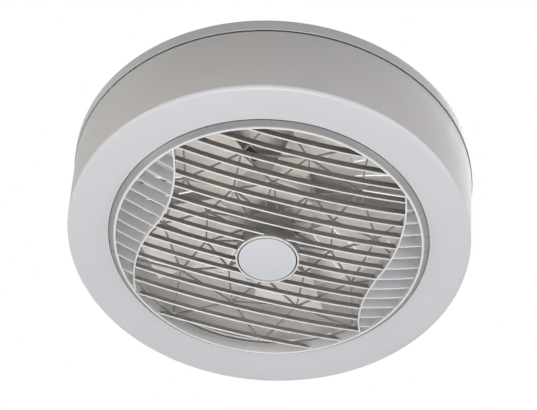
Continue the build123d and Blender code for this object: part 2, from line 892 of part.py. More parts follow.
def light_lead():
    """The lead from the terminal block, down through the pan and out under it to the light's driver."""
    start_level = pan_top + terminal_height / 2
    down_at = pan_hole_radius - lead_radius - lead_hole_play - lead_bend / 2
    over = bar_circle
    route = FilletPolyline(
        (0, terminal_offset, start_level),
        (0, down_at, start_level),
        (0, down_at, lead_level),
        (0, over, lead_level),
        (0, over, tray_top + driver_height),
        radius=lead_bend,
    )
    section = Plane(origin=(0, terminal_offset, start_level), z_dir=(0, -1, 0)) * RegularPolygon(lead_radius, small_sides)
    return sweep(section, path=route)


def main():
    os.makedirs("parts", exist_ok=True)
    save("ceiling_bracket", [ceiling_bracket()])
    save("canopy", [canopy()])
    save("canopy_screws", canopy_screws())
    save("plate_screws", plate_screws())
    save("top_pan", [top_pan()])
    save("shell_screws", shell_screws())
    save("drum_shell", [drum_shell()])
    save("light_ring", [light_ring()])
    save("air_duct", [air_duct()])
    save("finger_guard", [finger_guard()])
    save("guard_screws", guard_screws())
    save("louvre_motor", [louvre_motor()])
    save("louvre_shaft", [louvre_shaft()])
    save("louvre_nut", [louvre_nut()])
    save("louvre_grille", [louvre_grille()])
    save("centre_cap", [centre_cap()])
    save("motor_isolators", motor_isolators())
    save("isolator_screws", isolator_screws())
    save("motor_mount", [motor_mount()])
    save("motor_shaft", [motor_shaft()])
    save("shaft_nut", [shaft_nut()])
    save("motor_bearings", motor_bearings())
    save("rotor_can", [rotor_can()])
    save("rotor_lid", [rotor_lid()])
    save("rotor_magnets", rotor_magnets())
    save("stator_core", [stator_core()])
    save("stator_coils", stator_coils())
    save("impeller", [impeller()])
    save("impeller_screws", impeller_screws())
    save("led_tray", [led_tray()])
    save("led_bars", led_bars())
    save("led_chips", led_chips())
    save("light_clips", light_clips())
    save("led_driver", [led_driver()])
    save("receiver_box", [receiver_box()])
    save("terminal_block", [terminal_block()])
    save("light_lead", [light_lead()])


main()
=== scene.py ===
"""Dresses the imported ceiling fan: finer pieces, procedural finishes, a camera and soft light.

Lengths in the classes are millimetres in the part's own frame, with +Z up and the origin on the ceiling.
Meshes are worked out as whole arrays and turned into metres when they are made.
"""

from __future__ import annotations

import json
import logging
import math
from collections.abc import Callable
from dataclasses import dataclass, field
from enum import Enum

import bmesh
import bpy
import numpy as np
from mathutils import Matrix, Vector

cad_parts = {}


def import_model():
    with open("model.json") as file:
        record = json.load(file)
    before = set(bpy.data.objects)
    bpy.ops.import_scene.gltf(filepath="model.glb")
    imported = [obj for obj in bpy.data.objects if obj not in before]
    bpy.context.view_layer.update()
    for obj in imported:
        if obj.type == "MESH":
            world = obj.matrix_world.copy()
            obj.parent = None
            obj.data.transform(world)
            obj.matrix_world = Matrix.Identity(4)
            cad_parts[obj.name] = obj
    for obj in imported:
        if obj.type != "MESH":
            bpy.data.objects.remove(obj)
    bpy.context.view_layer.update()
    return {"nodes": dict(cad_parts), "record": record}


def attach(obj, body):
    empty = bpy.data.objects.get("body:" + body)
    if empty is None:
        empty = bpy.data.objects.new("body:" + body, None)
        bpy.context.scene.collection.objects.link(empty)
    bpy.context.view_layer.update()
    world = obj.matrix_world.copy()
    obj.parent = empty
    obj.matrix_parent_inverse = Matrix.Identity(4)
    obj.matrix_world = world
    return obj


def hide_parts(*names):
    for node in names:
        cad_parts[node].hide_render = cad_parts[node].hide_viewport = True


LOG = logging.getLogger("ceiling_fan")
MM = 0.001
PHOTO_WIDTH = 537
SENSOR_WIDTH = 36.0

# Steps round the axis
RING_STEPS = 192
DRUM_STEPS = 224
PART_STEPS = 128
HUB_STEPS = 96
BOSS_STEPS = 24

# Points closer than the first and edges shorter than the second are merged, in metres
MERGE_REACH = 1e-6
SLIVER = 1e-7

# Edges are rounded, or on pieces without rounding kept sharp, where faces meet at more than these degrees
SOFT_ANGLE = 28
SHARP_ANGLE = 35

# The range that most of a noise field lies in
NOISE_MIDDLE = (0.3, 0.7)

# Scales per metre of the noise in a colour and in a sheen, and what the second colour (painted shade on the
# grille) darkens to as it drifts
DRIFT_SCALE = 9.0
SHEEN_SCALE = 60.0
TONE_DRIFT = 0.94

# How the noise of level layers is drawn out along X and Y
LAYER_SPACE = (0.02, 0.02, 1.0)

Pair = tuple[float, float]
Triple = tuple[float, float, float]
Limit = Callable[[np.ndarray], np.ndarray]
Socket = bpy.types.NodeSocket


class Surface(Enum):
    """How the skin of a finish is textured."""

    GRAIN = "fine moulded grain"
    PEEL = "soft waves of sprayed paint"
    BRUSHED = "fine turned lines round the axis"
    LAYERS = "thin level layers"
    SPANGLE = "crystals of zinc"


class Body(Enum):
    """The three rigid bodies of the part."""

    HOUSING = "housing"
    IMPELLER = "impeller"
    LOUVRE = "louvre"


# Mesh helpers


def grid_quads(rows: int, columns: int, closed_rows: bool = False, closed_columns: bool = False) -> np.ndarray:
    """Numbers the quads of a grid of points stored row by row.

    Args:
        rows: number of rows of points.
        columns: number of points in a row.
        closed_rows: joins the last row to the first.
        closed_columns: joins the last column to the first.

    Returns:
        An array of quads, four point numbers each.
    """
    row = np.arange(rows if closed_rows else rows - 1)[:, None]
    column = np.arange(columns if closed_columns else columns - 1)[None, :]
    next_row, next_column = (row + 1) % rows, (column + 1) % columns
    corners = [row * columns + column, row * columns + next_column]
    corners += [next_row * columns + next_column, next_row * columns + column]
    return np.stack(corners, -1).reshape(-1, 4)


def turn_plan(points: np.ndarray, degrees: float) -> np.ndarray:
    """Turns points about the vertical axis: x and y are multiplied by the turning matrix of the angle.

    Args:
        points: points whose last axis is x, y and z.
        degrees: the angle, anticlockwise from above.

    Returns:
        The turned points, in the same shape.
    """
    angle = math.radians(degrees)
    turned = points.copy()
    turned[..., 0] = points[..., 0] * math.cos(angle) - points[..., 1] * math.sin(angle)
    turned[..., 1] = points[..., 0] * math.sin(angle) + points[..., 1] * math.cos(angle)
    return turned


def turns(count: int, start: float = 0.0) -> list[float]:
    """Angles in degrees of evenly spaced copies round the axis."""
    return [start + 360.0 * number / count for number in range(count)]


def rounded_outline(corners: list[Triple], steps: int) -> np.ndarray:
    """Rounds the corners of a closed outline.

    Each corner gives way to points on the circle that touches both of its sides: the centre lies on the
    corner's bisector, at the radius over the sine of half the angle, and the arc runs between the touching points.

    Args:
        corners: (a, b, radius) of each corner in order; a radius of 0 keeps the corner sharp.
        steps: pieces in each arc.

    Returns:
        The points of the rounded outline.
    """
    plan = np.array(corners, float)
    points = []
    for before, here, after in zip(np.roll(plan, 1, 0), plan, np.roll(plan, -1, 0)):
        spot, radius = here[:2], here[2]
        if radius == 0:
            points.append(spot[None, :])
            continue
        back = (before[:2] - spot) / np.linalg.norm(before[:2] - spot)
        ahead = (after[:2] - spot) / np.linalg.norm(after[:2] - spot)
        half = math.acos(float(np.clip(back @ ahead, -1, 1))) / 2
        centre = spot + (back + ahead) / np.linalg.norm(back + ahead) * radius / math.sin(half)
        start, stop = (spot + side * radius / math.tan(half) - centre for side in (back, ahead))
        first, last = math.atan2(start[1], start[0]), math.atan2(stop[1], stop[0])
        sweep = (last - first + math.pi) % (2 * math.pi) - math.pi
        angle = first + sweep * np.linspace(0, 1, steps + 1)
        points.append(centre + radius * np.stack([np.cos(angle), np.sin(angle)], -1))
    return np.concatenate(points)


def add_object(name: str, data: bpy.types.ID) -> bpy.types.Object:
    """Makes the object of a mesh, a camera or a lamp, and links it to the scene.

    Args:
        name: the object's name.
        data: what it shows.

    Returns:
        The new object.
    """
    thing = bpy.data.objects.new(name, data)
    bpy.context.scene.collection.objects.link(thing)
    return thing


def soften(piece: bpy.types.Object, width: float, angle: float, miter: str = "MITER_SHARP") -> None:
    """Rounds a piece's edges.

    Args:
        piece: the piece.
        width: the rounding's width in millimetres.
        angle: only edges whose faces meet at more than these degrees are rounded.
        miter: the rounding's shape at the corners.
    """
    soft = piece.modifiers.new("soft_edges", "BEVEL")
    soft.width, soft.segments, soft.limit_method = width * MM, 2, "ANGLE"
    soft.angle_limit, soft.harden_normals, soft.miter_outer = math.radians(angle), True, miter


def thicken(piece: bpy.types.Object, wall: float, even: bool = False) -> None:
    """Gives a sheet a wall in millimetres, half of it on each side."""
    solid = piece.modifiers.new("wall", "SOLIDIFY")
    solid.thickness, solid.offset, solid.use_even_offset = wall * MM, 0.0, even


class MeshPile:
    """Gathers grids and blocks as arrays, and makes them one mesh object."""

    def __init__(self) -> None:
        """Starts with no points and no faces."""
        self.points: list[np.ndarray] = []
        self.shades: list[np.ndarray] = []
        self.faces: list[list[int]] = []
        self.count = 0

    def add(self, points: np.ndarray, faces: np.ndarray, shade: np.ndarray | float = 0.0) -> None:
        """Adds one shell.

        Args:
            points: its points, whose last axis is x, y and z.
            faces: the corners of each face, numbered from the shell's first point.
            shade: share of the finish's second colour, at each point or for all; on the grille that colour is
                painted shade.
        """
        self.points.append(points.reshape(-1, 3))
        self.shades.append(np.broadcast_to(shade, points.shape[:-1]).reshape(-1))
        self.faces.extend((np.asarray(faces) + self.count).tolist())
        self.count += len(self.points[-1])

    def add_turned(
        self, outline: np.ndarray, steps: int, shade: np.ndarray | float = 0.0, centre: Triple = (0.0, 0.0, 0.0)
    ) -> None:
        """Turns a (radius, height) outline about an upright axis.

        A point (r, z) becomes (r cos a, r sin a, z) for evenly spaced angles a. An outline that starts and ends on
        the axis closes there by itself; any other is joined end to end.

        Args:
            outline: the outline's points in order.
            steps: number of angles.
            shade: share of the finish's second colour, at each point or for all; on the grille that colour is
                painted shade.
            centre: where the axis stands, and the level that heights count from.
        """
        angle = np.arange(steps)[:, None] * (2 * math.pi / steps)
        radius, height = outline[None, :, 0], outline[None, :, 1]
        rings = np.stack([radius * np.cos(angle), radius * np.sin(angle), height + 0 * angle], -1)
        closed = max(outline[0, 0], outline[-1, 0]) > 0
        self.add(np.array(centre) + rings, grid_quads(steps, len(outline), True, closed), shade)

    def add_round(
        self, corners: list[Triple], bends: int = 4, around: int = PART_STEPS, shade: float = 0.0
    ) -> None:
        """Rounds the corners of a (radius, height) outline and turns it about the vertical axis."""
        self.add_turned(rounded_outline(corners, bends), around, shade)

    def add_tube(self, rings: np.ndarray, shade: np.ndarray | float = 0.0) -> None:
        """Skins rings of points and closes each end with one face.

        Args:
            rings: the rings, in the shape (stations, points round, 3).
            shade: share of the finish's second colour, at each point or for all; on the grille that colour is
                painted shade.
        """
        stations, around = rings.shape[:2]
        self.add(rings, grid_quads(stations, around, False, True), shade)
        base = self.count - stations * around
        self.faces.append(list(range(base, base + around)))
        self.faces.append(list(range(base + (stations - 1) * around, base + stations * around)))

    def add_block(self, low: Triple, high: Triple, turn: float) -> None:
        """Adds an upright box.

        Args:
            low: its lowest corner before the turn.
            high: the opposite corner.
            turn: its turn about the vertical axis, in degrees.
        """
        plan = np.array([(0, 0), (1, 0), (1, 1), (0, 1)], float)
        rings = np.array([[(*corner, level) for corner in plan] for level in (0, 1)], float)
        box = np.array(low) + rings * (np.array(high) - np.array(low))
        self.add_tube(turn_plan(box, turn))

    def build(self, name: str, bevel: float = 0.0) -> bpy.types.Object:
        """Makes the mesh object in metres, with merged doubles, outward faces and softened edges.

        Args:
            name: name of the object.
            bevel: width of the softened edges in millimetres, 0 for none.

        Returns:
            The new object, linked to the scene.
        """
        mesh = bpy.data.meshes.new(name)
        mesh.from_pydata((np.concatenate(self.points) * MM).tolist(), [], self.faces)
        mesh.attributes.new("shade", "FLOAT", "POINT").data.foreach_set("value", np.concatenate(self.shades))
        work = bmesh.new()
        work.from_mesh(mesh)
        bmesh.ops.remove_doubles(work, verts=work.verts, dist=MERGE_REACH)
        bmesh.ops.dissolve_degenerate(work, edges=work.edges, dist=SLIVER)
        bmesh.ops.recalc_face_normals(work, faces=work.faces)
        work.to_mesh(mesh)
        work.free()
        mesh.shade_smooth()
        piece = add_object(name, mesh)
        if bevel:
            soften(piece, bevel, SOFT_ANGLE, "MITER_ARC")
        else:
            mesh.set_sharp_from_angle(angle=math.radians(SHARP_ANGLE))
        return piece


# Finishes


class Graph:
    """A node graph, with short calls that add a node and link it."""

    def __init__(self, owner: bpy.types.Material | bpy.types.World, shader: str) -> None:
        """Opens the owner's nodes.

        Args:
            owner: the material or world.
            shader: name of the node that takes the result.
        """
        owner.use_nodes = True
        self.nodes, self.links = owner.node_tree.nodes, owner.node_tree.links
        self.shader = self.nodes[shader]

    def add(self, kind: str, inputs: dict | None = None, **settings: object) -> bpy.types.Node:
        """Adds a node.

        Args:
            kind: the node's type.
            inputs: value or output socket for each named or numbered input.
            settings: properties of the node.

        Returns:
            The new node.
        """
        node = self.nodes.new(kind)
        for key, value in settings.items():
            setattr(node, key, value)
        self.feed(node, inputs or {})
        return node

    def feed(self, node: bpy.types.Node, inputs: dict) -> None:
        """Sets or links a node's inputs.

        Args:
            node: the node.
            inputs: value or output socket for each named or numbered input.
        """
        for key, value in inputs.items():
            if isinstance(value, Socket):
                self.links.new(value, node.inputs[key])
            else:
                node.inputs[key].default_value = value

    def set(self, **inputs: object) -> None:
        """Sets or links inputs of the shader, named with underscores for spaces."""
        self.feed(self.shader, {key.replace("_", " "): value for key, value in inputs.items()})


class Paint(Graph):
    """A material's graph, with noise fields, blends of colours and a bump."""

    def __init__(self, name: str) -> None:
        """Starts a material with one Principled shader.

        Args:
            name: the material's name.
        """
        self.material = bpy.data.materials.new(name)
        super().__init__(self.material, "Principled BSDF")
        self.place = self.add("ShaderNodeTexCoord").outputs["Object"]

    def noise(self, scale: float, detail: float = 2.0, place: Socket | None = None) -> Socket:
        """Adds a noise field of a scale per metre, in the object's own space or in a given one."""
        inputs = {"Vector": self.place if place is None else place, "Scale": scale, "Detail": detail}
        return self.add("ShaderNodeTexNoise", inputs).outputs[0]

    def spread(self, value: Socket, low: float, high: float) -> Socket:
        """Maps the middle of a noise field onto a range.

        Args:
            value: the noise field.
            low: the range's lower end.
            high: its upper end.

        Returns:
            The mapped field.
        """
        first, last = NOISE_MIDDLE
        inputs = {"Value": value, "From Min": first, "From Max": last, "To Min": low, "To Max": high}
        return self.add("ShaderNodeMapRange", inputs).outputs[0]

    def blend(self, value: Socket, low: tuple, high: tuple) -> Socket:
        """Blends two colours by the middle of a noise field.

        Args:
            value: the noise field.
            low: the colour where it is low.
            high: the colour where it is high.

        Returns:
            The blended colour.
        """
        ramp = self.add("ShaderNodeValToRGB", {"Fac": value})
        for stop, place, colour in zip(ramp.color_ramp.elements, NOISE_MIDDLE, (low, high)):
            stop.position, stop.color = place, (*colour, 1)
        return ramp.outputs[0]

    def fade_to(self, near: Socket, far: Socket, low: float, high: float) -> Socket:
        """Goes from one colour to another along the piece's shade attribute.

        Args:
            near: the colour up to the low shade.
            far: the colour from the high shade.
            low: the shade where the change starts.
            high: the shade where it ends.

        Returns:
            The changing colour.
        """
        shade = self.add("ShaderNodeAttribute", attribute_name="shade").outputs["Fac"]
        share = self.add("ShaderNodeMapRange", {"Value": shade, "From Min": low, "From Max": high}).outputs[0]
        return self.add("ShaderNodeMix", {0: share, 6: near, 7: far}, data_type="RGBA").outputs[2]

    def bump(self, height: Socket, depth: float, strength: float = 1.0) -> None:
        """Bends the shader's normal by a height field of a depth in millimetres."""
        node = self.add("ShaderNodeBump", {"Height": height, "Distance": depth * MM, "Strength": strength})
        self.set(Normal=node.outputs[0])


@dataclass(frozen=True)
class Finish:
    """One finish of the fan: a colour that drifts, a sheen that varies and a textured skin.

    The skin's depth is in millimetres and its scale per metre. Where a second colour is given, the colour fades
    over to it as the piece's shade attribute passes through the two values of the fade. On the grille's slat
    faces, rim cone and hub wall that second colour is painted shade; on the top pan the base grey is painted shade
    on the band.
    """

    name: str
    colour: Triple
    drift: Triple
    roughness: Pair
    surface: Surface = Surface.GRAIN
    metallic: float = 0.0
    depth: float = 0.02
    scale: float = 900.0
    coat: float = 0.0
    subsurface: float = 0.0
    specular: float = 0.5
    # Second colour: painted shade on the grille's slat faces, rim cone and hub wall, a second tone on the pan and
    # guard
    tone_and_painted_shade: Triple | None = None
    fade: Pair = (0.05, 0.13)

    def field(self, graph: Paint) -> Socket:
        """Gives the height field of the skin: noise, stretched noise, level bands or zinc crystals.

        Args:
            graph: the graph that takes the nodes.

        Returns:
            The height field.
        """
        if self.surface is Surface.PEEL:
            return graph.noise(self.scale, 1.0)
        if self.surface is Surface.LAYERS:
            level = graph.add("ShaderNodeMapping", {"Vector": graph.place, "Scale": LAYER_SPACE})
            return graph.noise(self.scale, 0.0, level.outputs[0])
        if self.surface is Surface.BRUSHED:
            x, y, z = graph.add("ShaderNodeSeparateXYZ", {0: graph.place}).outputs
            flat = graph.add("ShaderNodeCombineXYZ", {0: x, 1: y})
            radius = graph.add("ShaderNodeVectorMath", {0: flat.outputs[0]}, operation="LENGTH")
            round_axis = graph.add("ShaderNodeCombineXYZ", {0: radius.outputs["Value"], 2: z})
            return graph.noise(self.scale, 3.0, round_axis.outputs[0])
        if self.surface is Surface.SPANGLE:
            return graph.add("ShaderNodeTexVoronoi", {"Vector": graph.place, "Scale": self.scale}).outputs[0]
        return graph.noise(self.scale, 4.0)

    def material(self) -> bpy.types.Material:
        """Builds the material: drifting colour, varied sheen and the skin as bump.

        Returns:
            The material, under the finish's name.
        """
        graph = Paint(self.name)
        height = self.field(graph)
        patterned = self.surface in (Surface.SPANGLE, Surface.LAYERS, Surface.BRUSHED)
        share = height if patterned else graph.noise(DRIFT_SCALE, 3.0)
        colour = graph.blend(share, self.colour, self.drift)
        # Fades towards the second colour by the shade attribute, which paints shade on the grille
        if self.tone_and_painted_shade:
            wall = graph.blend(share, self.tone_and_painted_shade, tuple(TONE_DRIFT * part for part in self.tone_and_painted_shade))
            colour = graph.fade_to(colour, wall, *self.fade)
        graph.set(
            Base_Color=colour,
            Roughness=graph.spread(graph.noise(SHEEN_SCALE, 4.0), *self.roughness),
            Metallic=self.metallic,
            Coat_Weight=self.coat,
            Coat_Roughness=0.18,
            Specular_IOR_Level=self.specular,
        )
        if self.subsurface:
            graph.set(Subsurface_Weight=self.subsurface, Subsurface_Scale=1.0)
            graph.set(Subsurface_Radius=(0.006, 0.005, 0.005))
        graph.bump(height, self.depth)
        return graph.material


FINISHES = (
    # The base grey is painted shade on the pan's band, and the canopy takes it too; the second colour is the
    # plate's own white
    Finish(
        "white_paint", (0.56, 0.56, 0.56), (0.53, 0.53, 0.535), (0.30, 0.40), Surface.PEEL,
        depth=0.05, scale=260.0, tone_and_painted_shade=(0.86, 0.84, 0.81), fade=(0.0, 1.0),
    ),
    Finish("white_shell", (0.65, 0.63, 0.61), (0.62, 0.60, 0.585), (0.42, 0.54), specular=0.35),
    # Its second colour, a dark grey, is painted shade on the slats' faces above their lower edges and on the hub's
    # wall
    Finish("white_grille", (0.77, 0.76, 0.74), (0.74, 0.735, 0.715), (0.28, 0.38), tone_and_painted_shade=(0.25, 0.24, 0.225)),
    Finish("opal_plastic", (0.66, 0.65, 0.675), (0.645, 0.635, 0.66), (0.36, 0.46), subsurface=0.08),
    Finish("grey_plastic", (0.63, 0.645, 0.685), (0.60, 0.62, 0.66), (0.34, 0.44)),
    Finish("black_plastic", (0.028, 0.028, 0.030), (0.045, 0.045, 0.048), (0.42, 0.58), depth=0.06),
    Finish(
        "zinc_steel", (0.56, 0.57, 0.59), (0.68, 0.69, 0.70), (0.28, 0.42),
        Surface.SPANGLE, 1.0, 0.01, 140.0,
    ),
    Finish("rubber_bush", (0.020, 0.020, 0.021), (0.034, 0.033, 0.033), (0.70, 0.85), depth=0.08),
    Finish(
        "magnet_grey", (0.075, 0.077, 0.082), (0.11, 0.11, 0.115), (0.50, 0.68),
        Surface.GRAIN, 0.4, 0.05, 1500.0,
    ),
    Finish(
        "lamination", (0.19, 0.20, 0.22), (0.33, 0.34, 0.36), (0.36, 0.50),
        Surface.LAYERS, 0.9, 0.12, 1800.0,
    ),
    Finish(
        "copper_wire", (0.52, 0.19, 0.075), (0.74, 0.33, 0.15), (0.22, 0.34),
        Surface.LAYERS, 0.9, 0.30, 1100.0,
    ),
    Finish("board_white", (0.78, 0.78, 0.75), (0.70, 0.71, 0.69), (0.30, 0.42), depth=0.01),
    Finish("chip_yellow", (0.88, 0.68, 0.16), (0.80, 0.58, 0.12), (0.20, 0.32), coat=0.6),
    Finish("lead_grey", (0.20, 0.20, 0.21), (0.26, 0.26, 0.27), (0.45, 0.58), depth=0.03),
    Finish("cap_plastic", (0.655, 0.665, 0.70), (0.63, 0.645, 0.69), (0.30, 0.40)),
    # Its second colour, a bluish grey, is painted shade on the faces of the slats outside the ribs
    Finish("side_slats", (0.79, 0.785, 0.77), (0.76, 0.755, 0.74), (0.28, 0.38), tone_and_painted_shade=(0.56, 0.57, 0.59)),
    Finish(
        "guard_plastic", (0.36, 0.345, 0.33), (0.32, 0.31, 0.30), (0.40, 0.55),
        tone_and_painted_shade=(0.84, 0.83, 0.82), fade=(0.0, 1.0),
    ),
    # Its second colour is painted shade on the rim's cone, darker from the lip outwards
    Finish(
        "rim_satin", (0.80, 0.80, 0.80), (0.77, 0.775, 0.78), (0.26, 0.36),
        tone_and_painted_shade=(0.29, 0.29, 0.285), fade=(0.0, 0.25),
    ),
    Finish("blade_plastic", (0.93, 0.875, 0.81), (0.90, 0.84, 0.775), (0.34, 0.48)),
    Finish(
        "turned_steel", (0.50, 0.50, 0.51), (0.66, 0.66, 0.67), (0.24, 0.38),
        Surface.BRUSHED, 1.0, 0.02, 2600.0,
    ),
    Finish("duct_white", (0.90, 0.90, 0.90), (0.87, 0.87, 0.875), (0.38, 0.50)),
)


class Paintshop:
    """Makes every finish once, and dresses pieces and frame nodes with them."""

    def __init__(self, record: dict) -> None:
        """Builds all finishes, and notes the record's slot of each node."""
        self.materials = {finish.name: finish.material() for finish in FINISHES}
        self.slots = {part["node"]: part["material_slot"] for part in record["subparts"]}

    def dress(self, piece: bpy.types.Object, finish: str) -> None:
        """Gives a piece one finish."""
        piece.data.materials.clear()
        piece.data.materials.append(self.materials[finish])

    def dress_node(self, node: bpy.types.Object, finish: str) -> None:
        """Gives a frame node one finish in all of its material slots.

        Args:
            node: the frame's node.
            finish: name of the finish.
        """
        if not node.material_slots:
            node.data.materials.append(None)
        for slot in node.material_slots:
            slot.material = self.materials[finish]


@dataclass
class Fan:
    """What every sub-assembly works with: the paintshop, and the frame nodes that pieces stand for."""

    shop: Paintshop
    replaced: set[str] = field(default_factory=set)

    def mount(self, piece: bpy.types.Object, body: Body, finish: str, *stands_for: str, slot: str = "") -> None:
        """Dresses a new piece, makes it ride on a body and lets it stand for frame nodes.

        Args:
            piece: the new piece.
            body: the body that it moves with.
            finish: name of its finish.
            stands_for: the frame nodes that it replaces.
            slot: not used.
        """
        self.shop.dress(piece, finish)
        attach(piece, body.value)
        if stands_for:
            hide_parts(*stands_for)
        self.replaced |= set(stands_for)
        LOG.info("%s rides on %s", piece.name, body.value)


# Sub-assemblies


@dataclass
class LouvreGrille:
    """The turning grille: rim, leaning slats with bowed edges, two S-shaped ribs and the hub."""

    lip_level: float = -179.0
    rim_inner: float = 208.2
    lip_width: float = 2.0
    rim_outer: float = 217.8
    rim_base: float = -171.4
    rim_top: float = -159.5
    rim_top_wall: float = 3.2
    turn: float = 12.45
    slat_height: float = 15.5
    slat_wall: float = 1.8
    pitch: float = 20.2
    near_margin: float = 17.2
    far_margin: float = 10.0
    even_slats: int = 13
    growth: float = 1.5
    lean: float = 22.8
    lean_gain: float = 0.034
    side_lean: float = 17.0
    recess: float = 3.0
    crown: float = 29.5
    crown_power: float = 2.5
    rib_wall: float = 2.4
    rib_proud: float = 0.8
    rib_start: Pair = (-167.0, -125.0)
    rib_bulge: Pair = (-150.5, -62.0)
    rib_middle: Pair = (-157.5, 3.0)
    rib_end: Pair = (-150.5, 144.5)
    hub_radius: float = 43.0
    hub_wall: float = 2.2
    hub_level: float = -210.0
    hub_top: float = -186.0
    hub_lip: float = 1.0
    hub_floor: Pair = (-193.0, -190.6)
    boss: Pair = (8.0, -184.6)
    shaft_radius: float = 3.0
    station: float = 9.0
    seat: float = 0.2
    shortest: float = 1.5
    least: float = 0.3
    rib_stations: int = 56
    dome_reach: float = 1.02
    bow_rounds: int = 5
    limit_rounds: int = 6
    slat_edge: float = 0.45
    rib_edge: float = 0.5

    def __post_init__(self) -> None:
        """Works out the circles of the S-shaped rib's two arcs.

        The first passes through start, bulge and middle. The second touches it at the middle and passes through
        the end, so its centre lies on the same normal at half the squared distance over the normal's share.
        """
        points = (self.rib_start, self.rib_bulge, self.rib_middle, self.rib_end)
        start, bulge, middle, end = (np.array(point, float) for point in points)
        sides = 2 * np.array([bulge - start, middle - start])
        squares = [bulge @ bulge - start @ start, middle @ middle - start @ start]
        self.first_centre = np.linalg.solve(sides, squares)
        normal = (middle - self.first_centre) / np.linalg.norm(middle - self.first_centre)
        step = (end - middle) @ (end - middle) / (2 * (normal @ (end - middle)))
        self.second_centre = middle + normal * step
        self.first_radius = float(np.linalg.norm(middle - self.first_centre))
        self.second_radius = abs(float(step))
        self.reach = self.rim_inner + self.lip_width / 2

    def edge_height(self, radius: np.ndarray) -> np.ndarray:
        """Height of the slats' lower edges over the lip: a dome by a power of the radius, lowest at the hub."""
        share = np.minimum(radius / self.rim_inner, self.dome_reach)
        return self.recess - self.crown * (1 - share**self.crown_power)

    def bow(self, offset: float, lean: float, along: np.ndarray) -> np.ndarray:
        """Height of one leaning slat's lower edge: the dome's height where the leaning plane meets it.

        Args:
            offset: the slat's place at lip level.
            lean: how far it leans over, in degrees.
            along: places along the slat.

        Returns:
            The height over the lip at each place.
        """
        height = np.zeros_like(along)
        for _ in range(self.bow_rounds):
            height = self.edge_height(np.hypot(along, offset + height * math.tan(math.radians(lean))))
        return height

    def rib_place(self, across: np.ndarray) -> np.ndarray:
        """The left rib's line: the sides of its two circles, held inside the rim.

        Args:
            across: places across the slats.

        Returns:
            X of the rib's middle at each place.
        """
        near = np.clip(across, self.rib_start[1], self.rib_middle[1])
        far = np.clip(across, self.rib_middle[1], self.rib_end[1])
        first = self.side_of(self.first_centre, self.first_radius, near, self.rib_middle)
        second = self.side_of(self.second_centre, self.second_radius, far, self.rib_end)
        place = np.where(across < self.rib_middle[1], first, second)
        return np.maximum(place, -self.rim_place(across))

    def right_rib(self, across: np.ndarray) -> np.ndarray:
        """X of the right rib's middle, which is the left one turned half round."""
        return -self.rib_place(-across)

    @staticmethod
    def side_of(centre: np.ndarray, radius: float, across: np.ndarray, sample: Pair) -> np.ndarray:
        """X of a circle at places across, on the side of the circle where a sample point lies."""
        side = math.copysign(1.0, sample[0] - centre[0])
        return centre[0] + side * np.sqrt(np.maximum(radius**2 - (across - centre[1]) ** 2, 0))

    def rim_place(self, across: np.ndarray) -> np.ndarray:
        """Half the chord of the rim's inside at a place across."""
        return np.sqrt(np.maximum(self.reach**2 - across**2, 0))

    def left_rim(self, across: np.ndarray) -> np.ndarray:
        """X of the rim's inside on the left."""
        return -self.rim_place(across)

    def hub_place(self, across: np.ndarray) -> np.ndarray:
        """X of the hub's right side: half the chord of its wall, less the seat that a slat sinks in by."""
        middle = self.hub_radius - self.hub_wall / 2
        return np.sqrt(np.maximum(middle**2 - across**2, 0)) - self.seat

    def left_hub(self, across: np.ndarray) -> np.ndarray:
        """X of the hub's left side."""
        return -self.hub_place(across)

    def offsets(self) -> list[float]:
        """Spaces the slats: an even row, then gaps that grow up to the far side.

        Returns:
            The slats' places at lip level.
        """
        places, gap = [self.near_margin - self.rim_inner], self.pitch
        while places[-1] + gap < self.rim_inner - self.far_margin:
            places.append(places[-1] + gap)
            if len(places) >= self.even_slats:
                gap += self.growth
        return places

    def add_slat(self, pile: MeshPile, offset: float, lean: float, start: Limit, stop: Limit) -> None:
        """Adds the stretch of one slat between two limits.

        A point at x, at depth v down the leaning plane and u through the wall lies at
        y = offset + w sin(lean) + u cos(lean) and z = lip + w cos(lean) - u sin(lean), where w is the bowed
        edge over cos(lean), plus v. The ends of each line follow the limits at that line's own y.

        Args:
            pile: the pile that takes the stretch.
            offset: the slat's place at lip level.
            lean: how far it leans over, in degrees.
            start: limit along x as a function of y.
            stop: the other limit.
        """
        slope, slant = math.cos(math.radians(lean)), math.sin(math.radians(lean))
        half, deep = self.slat_wall / 2, self.slat_height / slope
        u = np.array([-half, half, half, -half])
        v = np.array([0.0, 0.0, deep, deep])
        low, high = np.full(4, -1.0), np.full(4, 1.0)
        for _ in range(self.limit_rounds):
            low, high = (
                limit(offset + (self.bow(offset, lean, x) / slope + v) * slant + u * slope)
                for limit, x in ((start, low), (stop, high))
            )
        if float(np.max(high - low)) < self.shortest:
            return
        high = np.maximum(high, low + self.least)
        stations = max(3, int(np.max(high - low) / self.station) + 2)
        x = low + (high - low) * np.linspace(0, 1, stations)[:, None]
        w = self.bow(offset, lean, x) / slope + v
        rings = np.stack([x, offset + w * slant + u * slope, self.lip_level + w * slope - u * slant], -1)
        # The shade share rises from the lower edge up the slat's depth: painted shade on the faces of all slats
        pile.add_tube(turn_plan(rings, self.turn), v[None, :] / deep)

    def slats(self) -> tuple[MeshPile, MeshPile]:
        """Adds each slat in its stretches: whole or in two halves at the hub, and one on each side.

        Returns:
            The slats between the ribs, and the ones outside them that lean the other way.
        """
        pile, sides = MeshPile(), MeshPile()
        drop = float(self.edge_height(np.array(math.hypot(*self.rib_middle))))
        whole = ((self.rib_place, self.right_rib),)
        halves = ((self.rib_place, self.left_hub), (self.hub_place, self.right_rib))
        outside = ((self.left_rim, self.rib_place), (self.right_rib, self.rim_place))
        for offset in self.offsets():
            lean = self.lean + self.lean_gain * offset
            side = offset + drop * (math.tan(math.radians(lean)) + math.tan(math.radians(self.side_lean)))
            clear = abs(offset) > self.hub_radius + self.slat_height
            for limits in whole if clear else halves:
                self.add_slat(pile, offset, lean, *limits)
            for limits in outside:
                self.add_slat(sides, side, -self.side_lean, *limits)
        return pile, sides

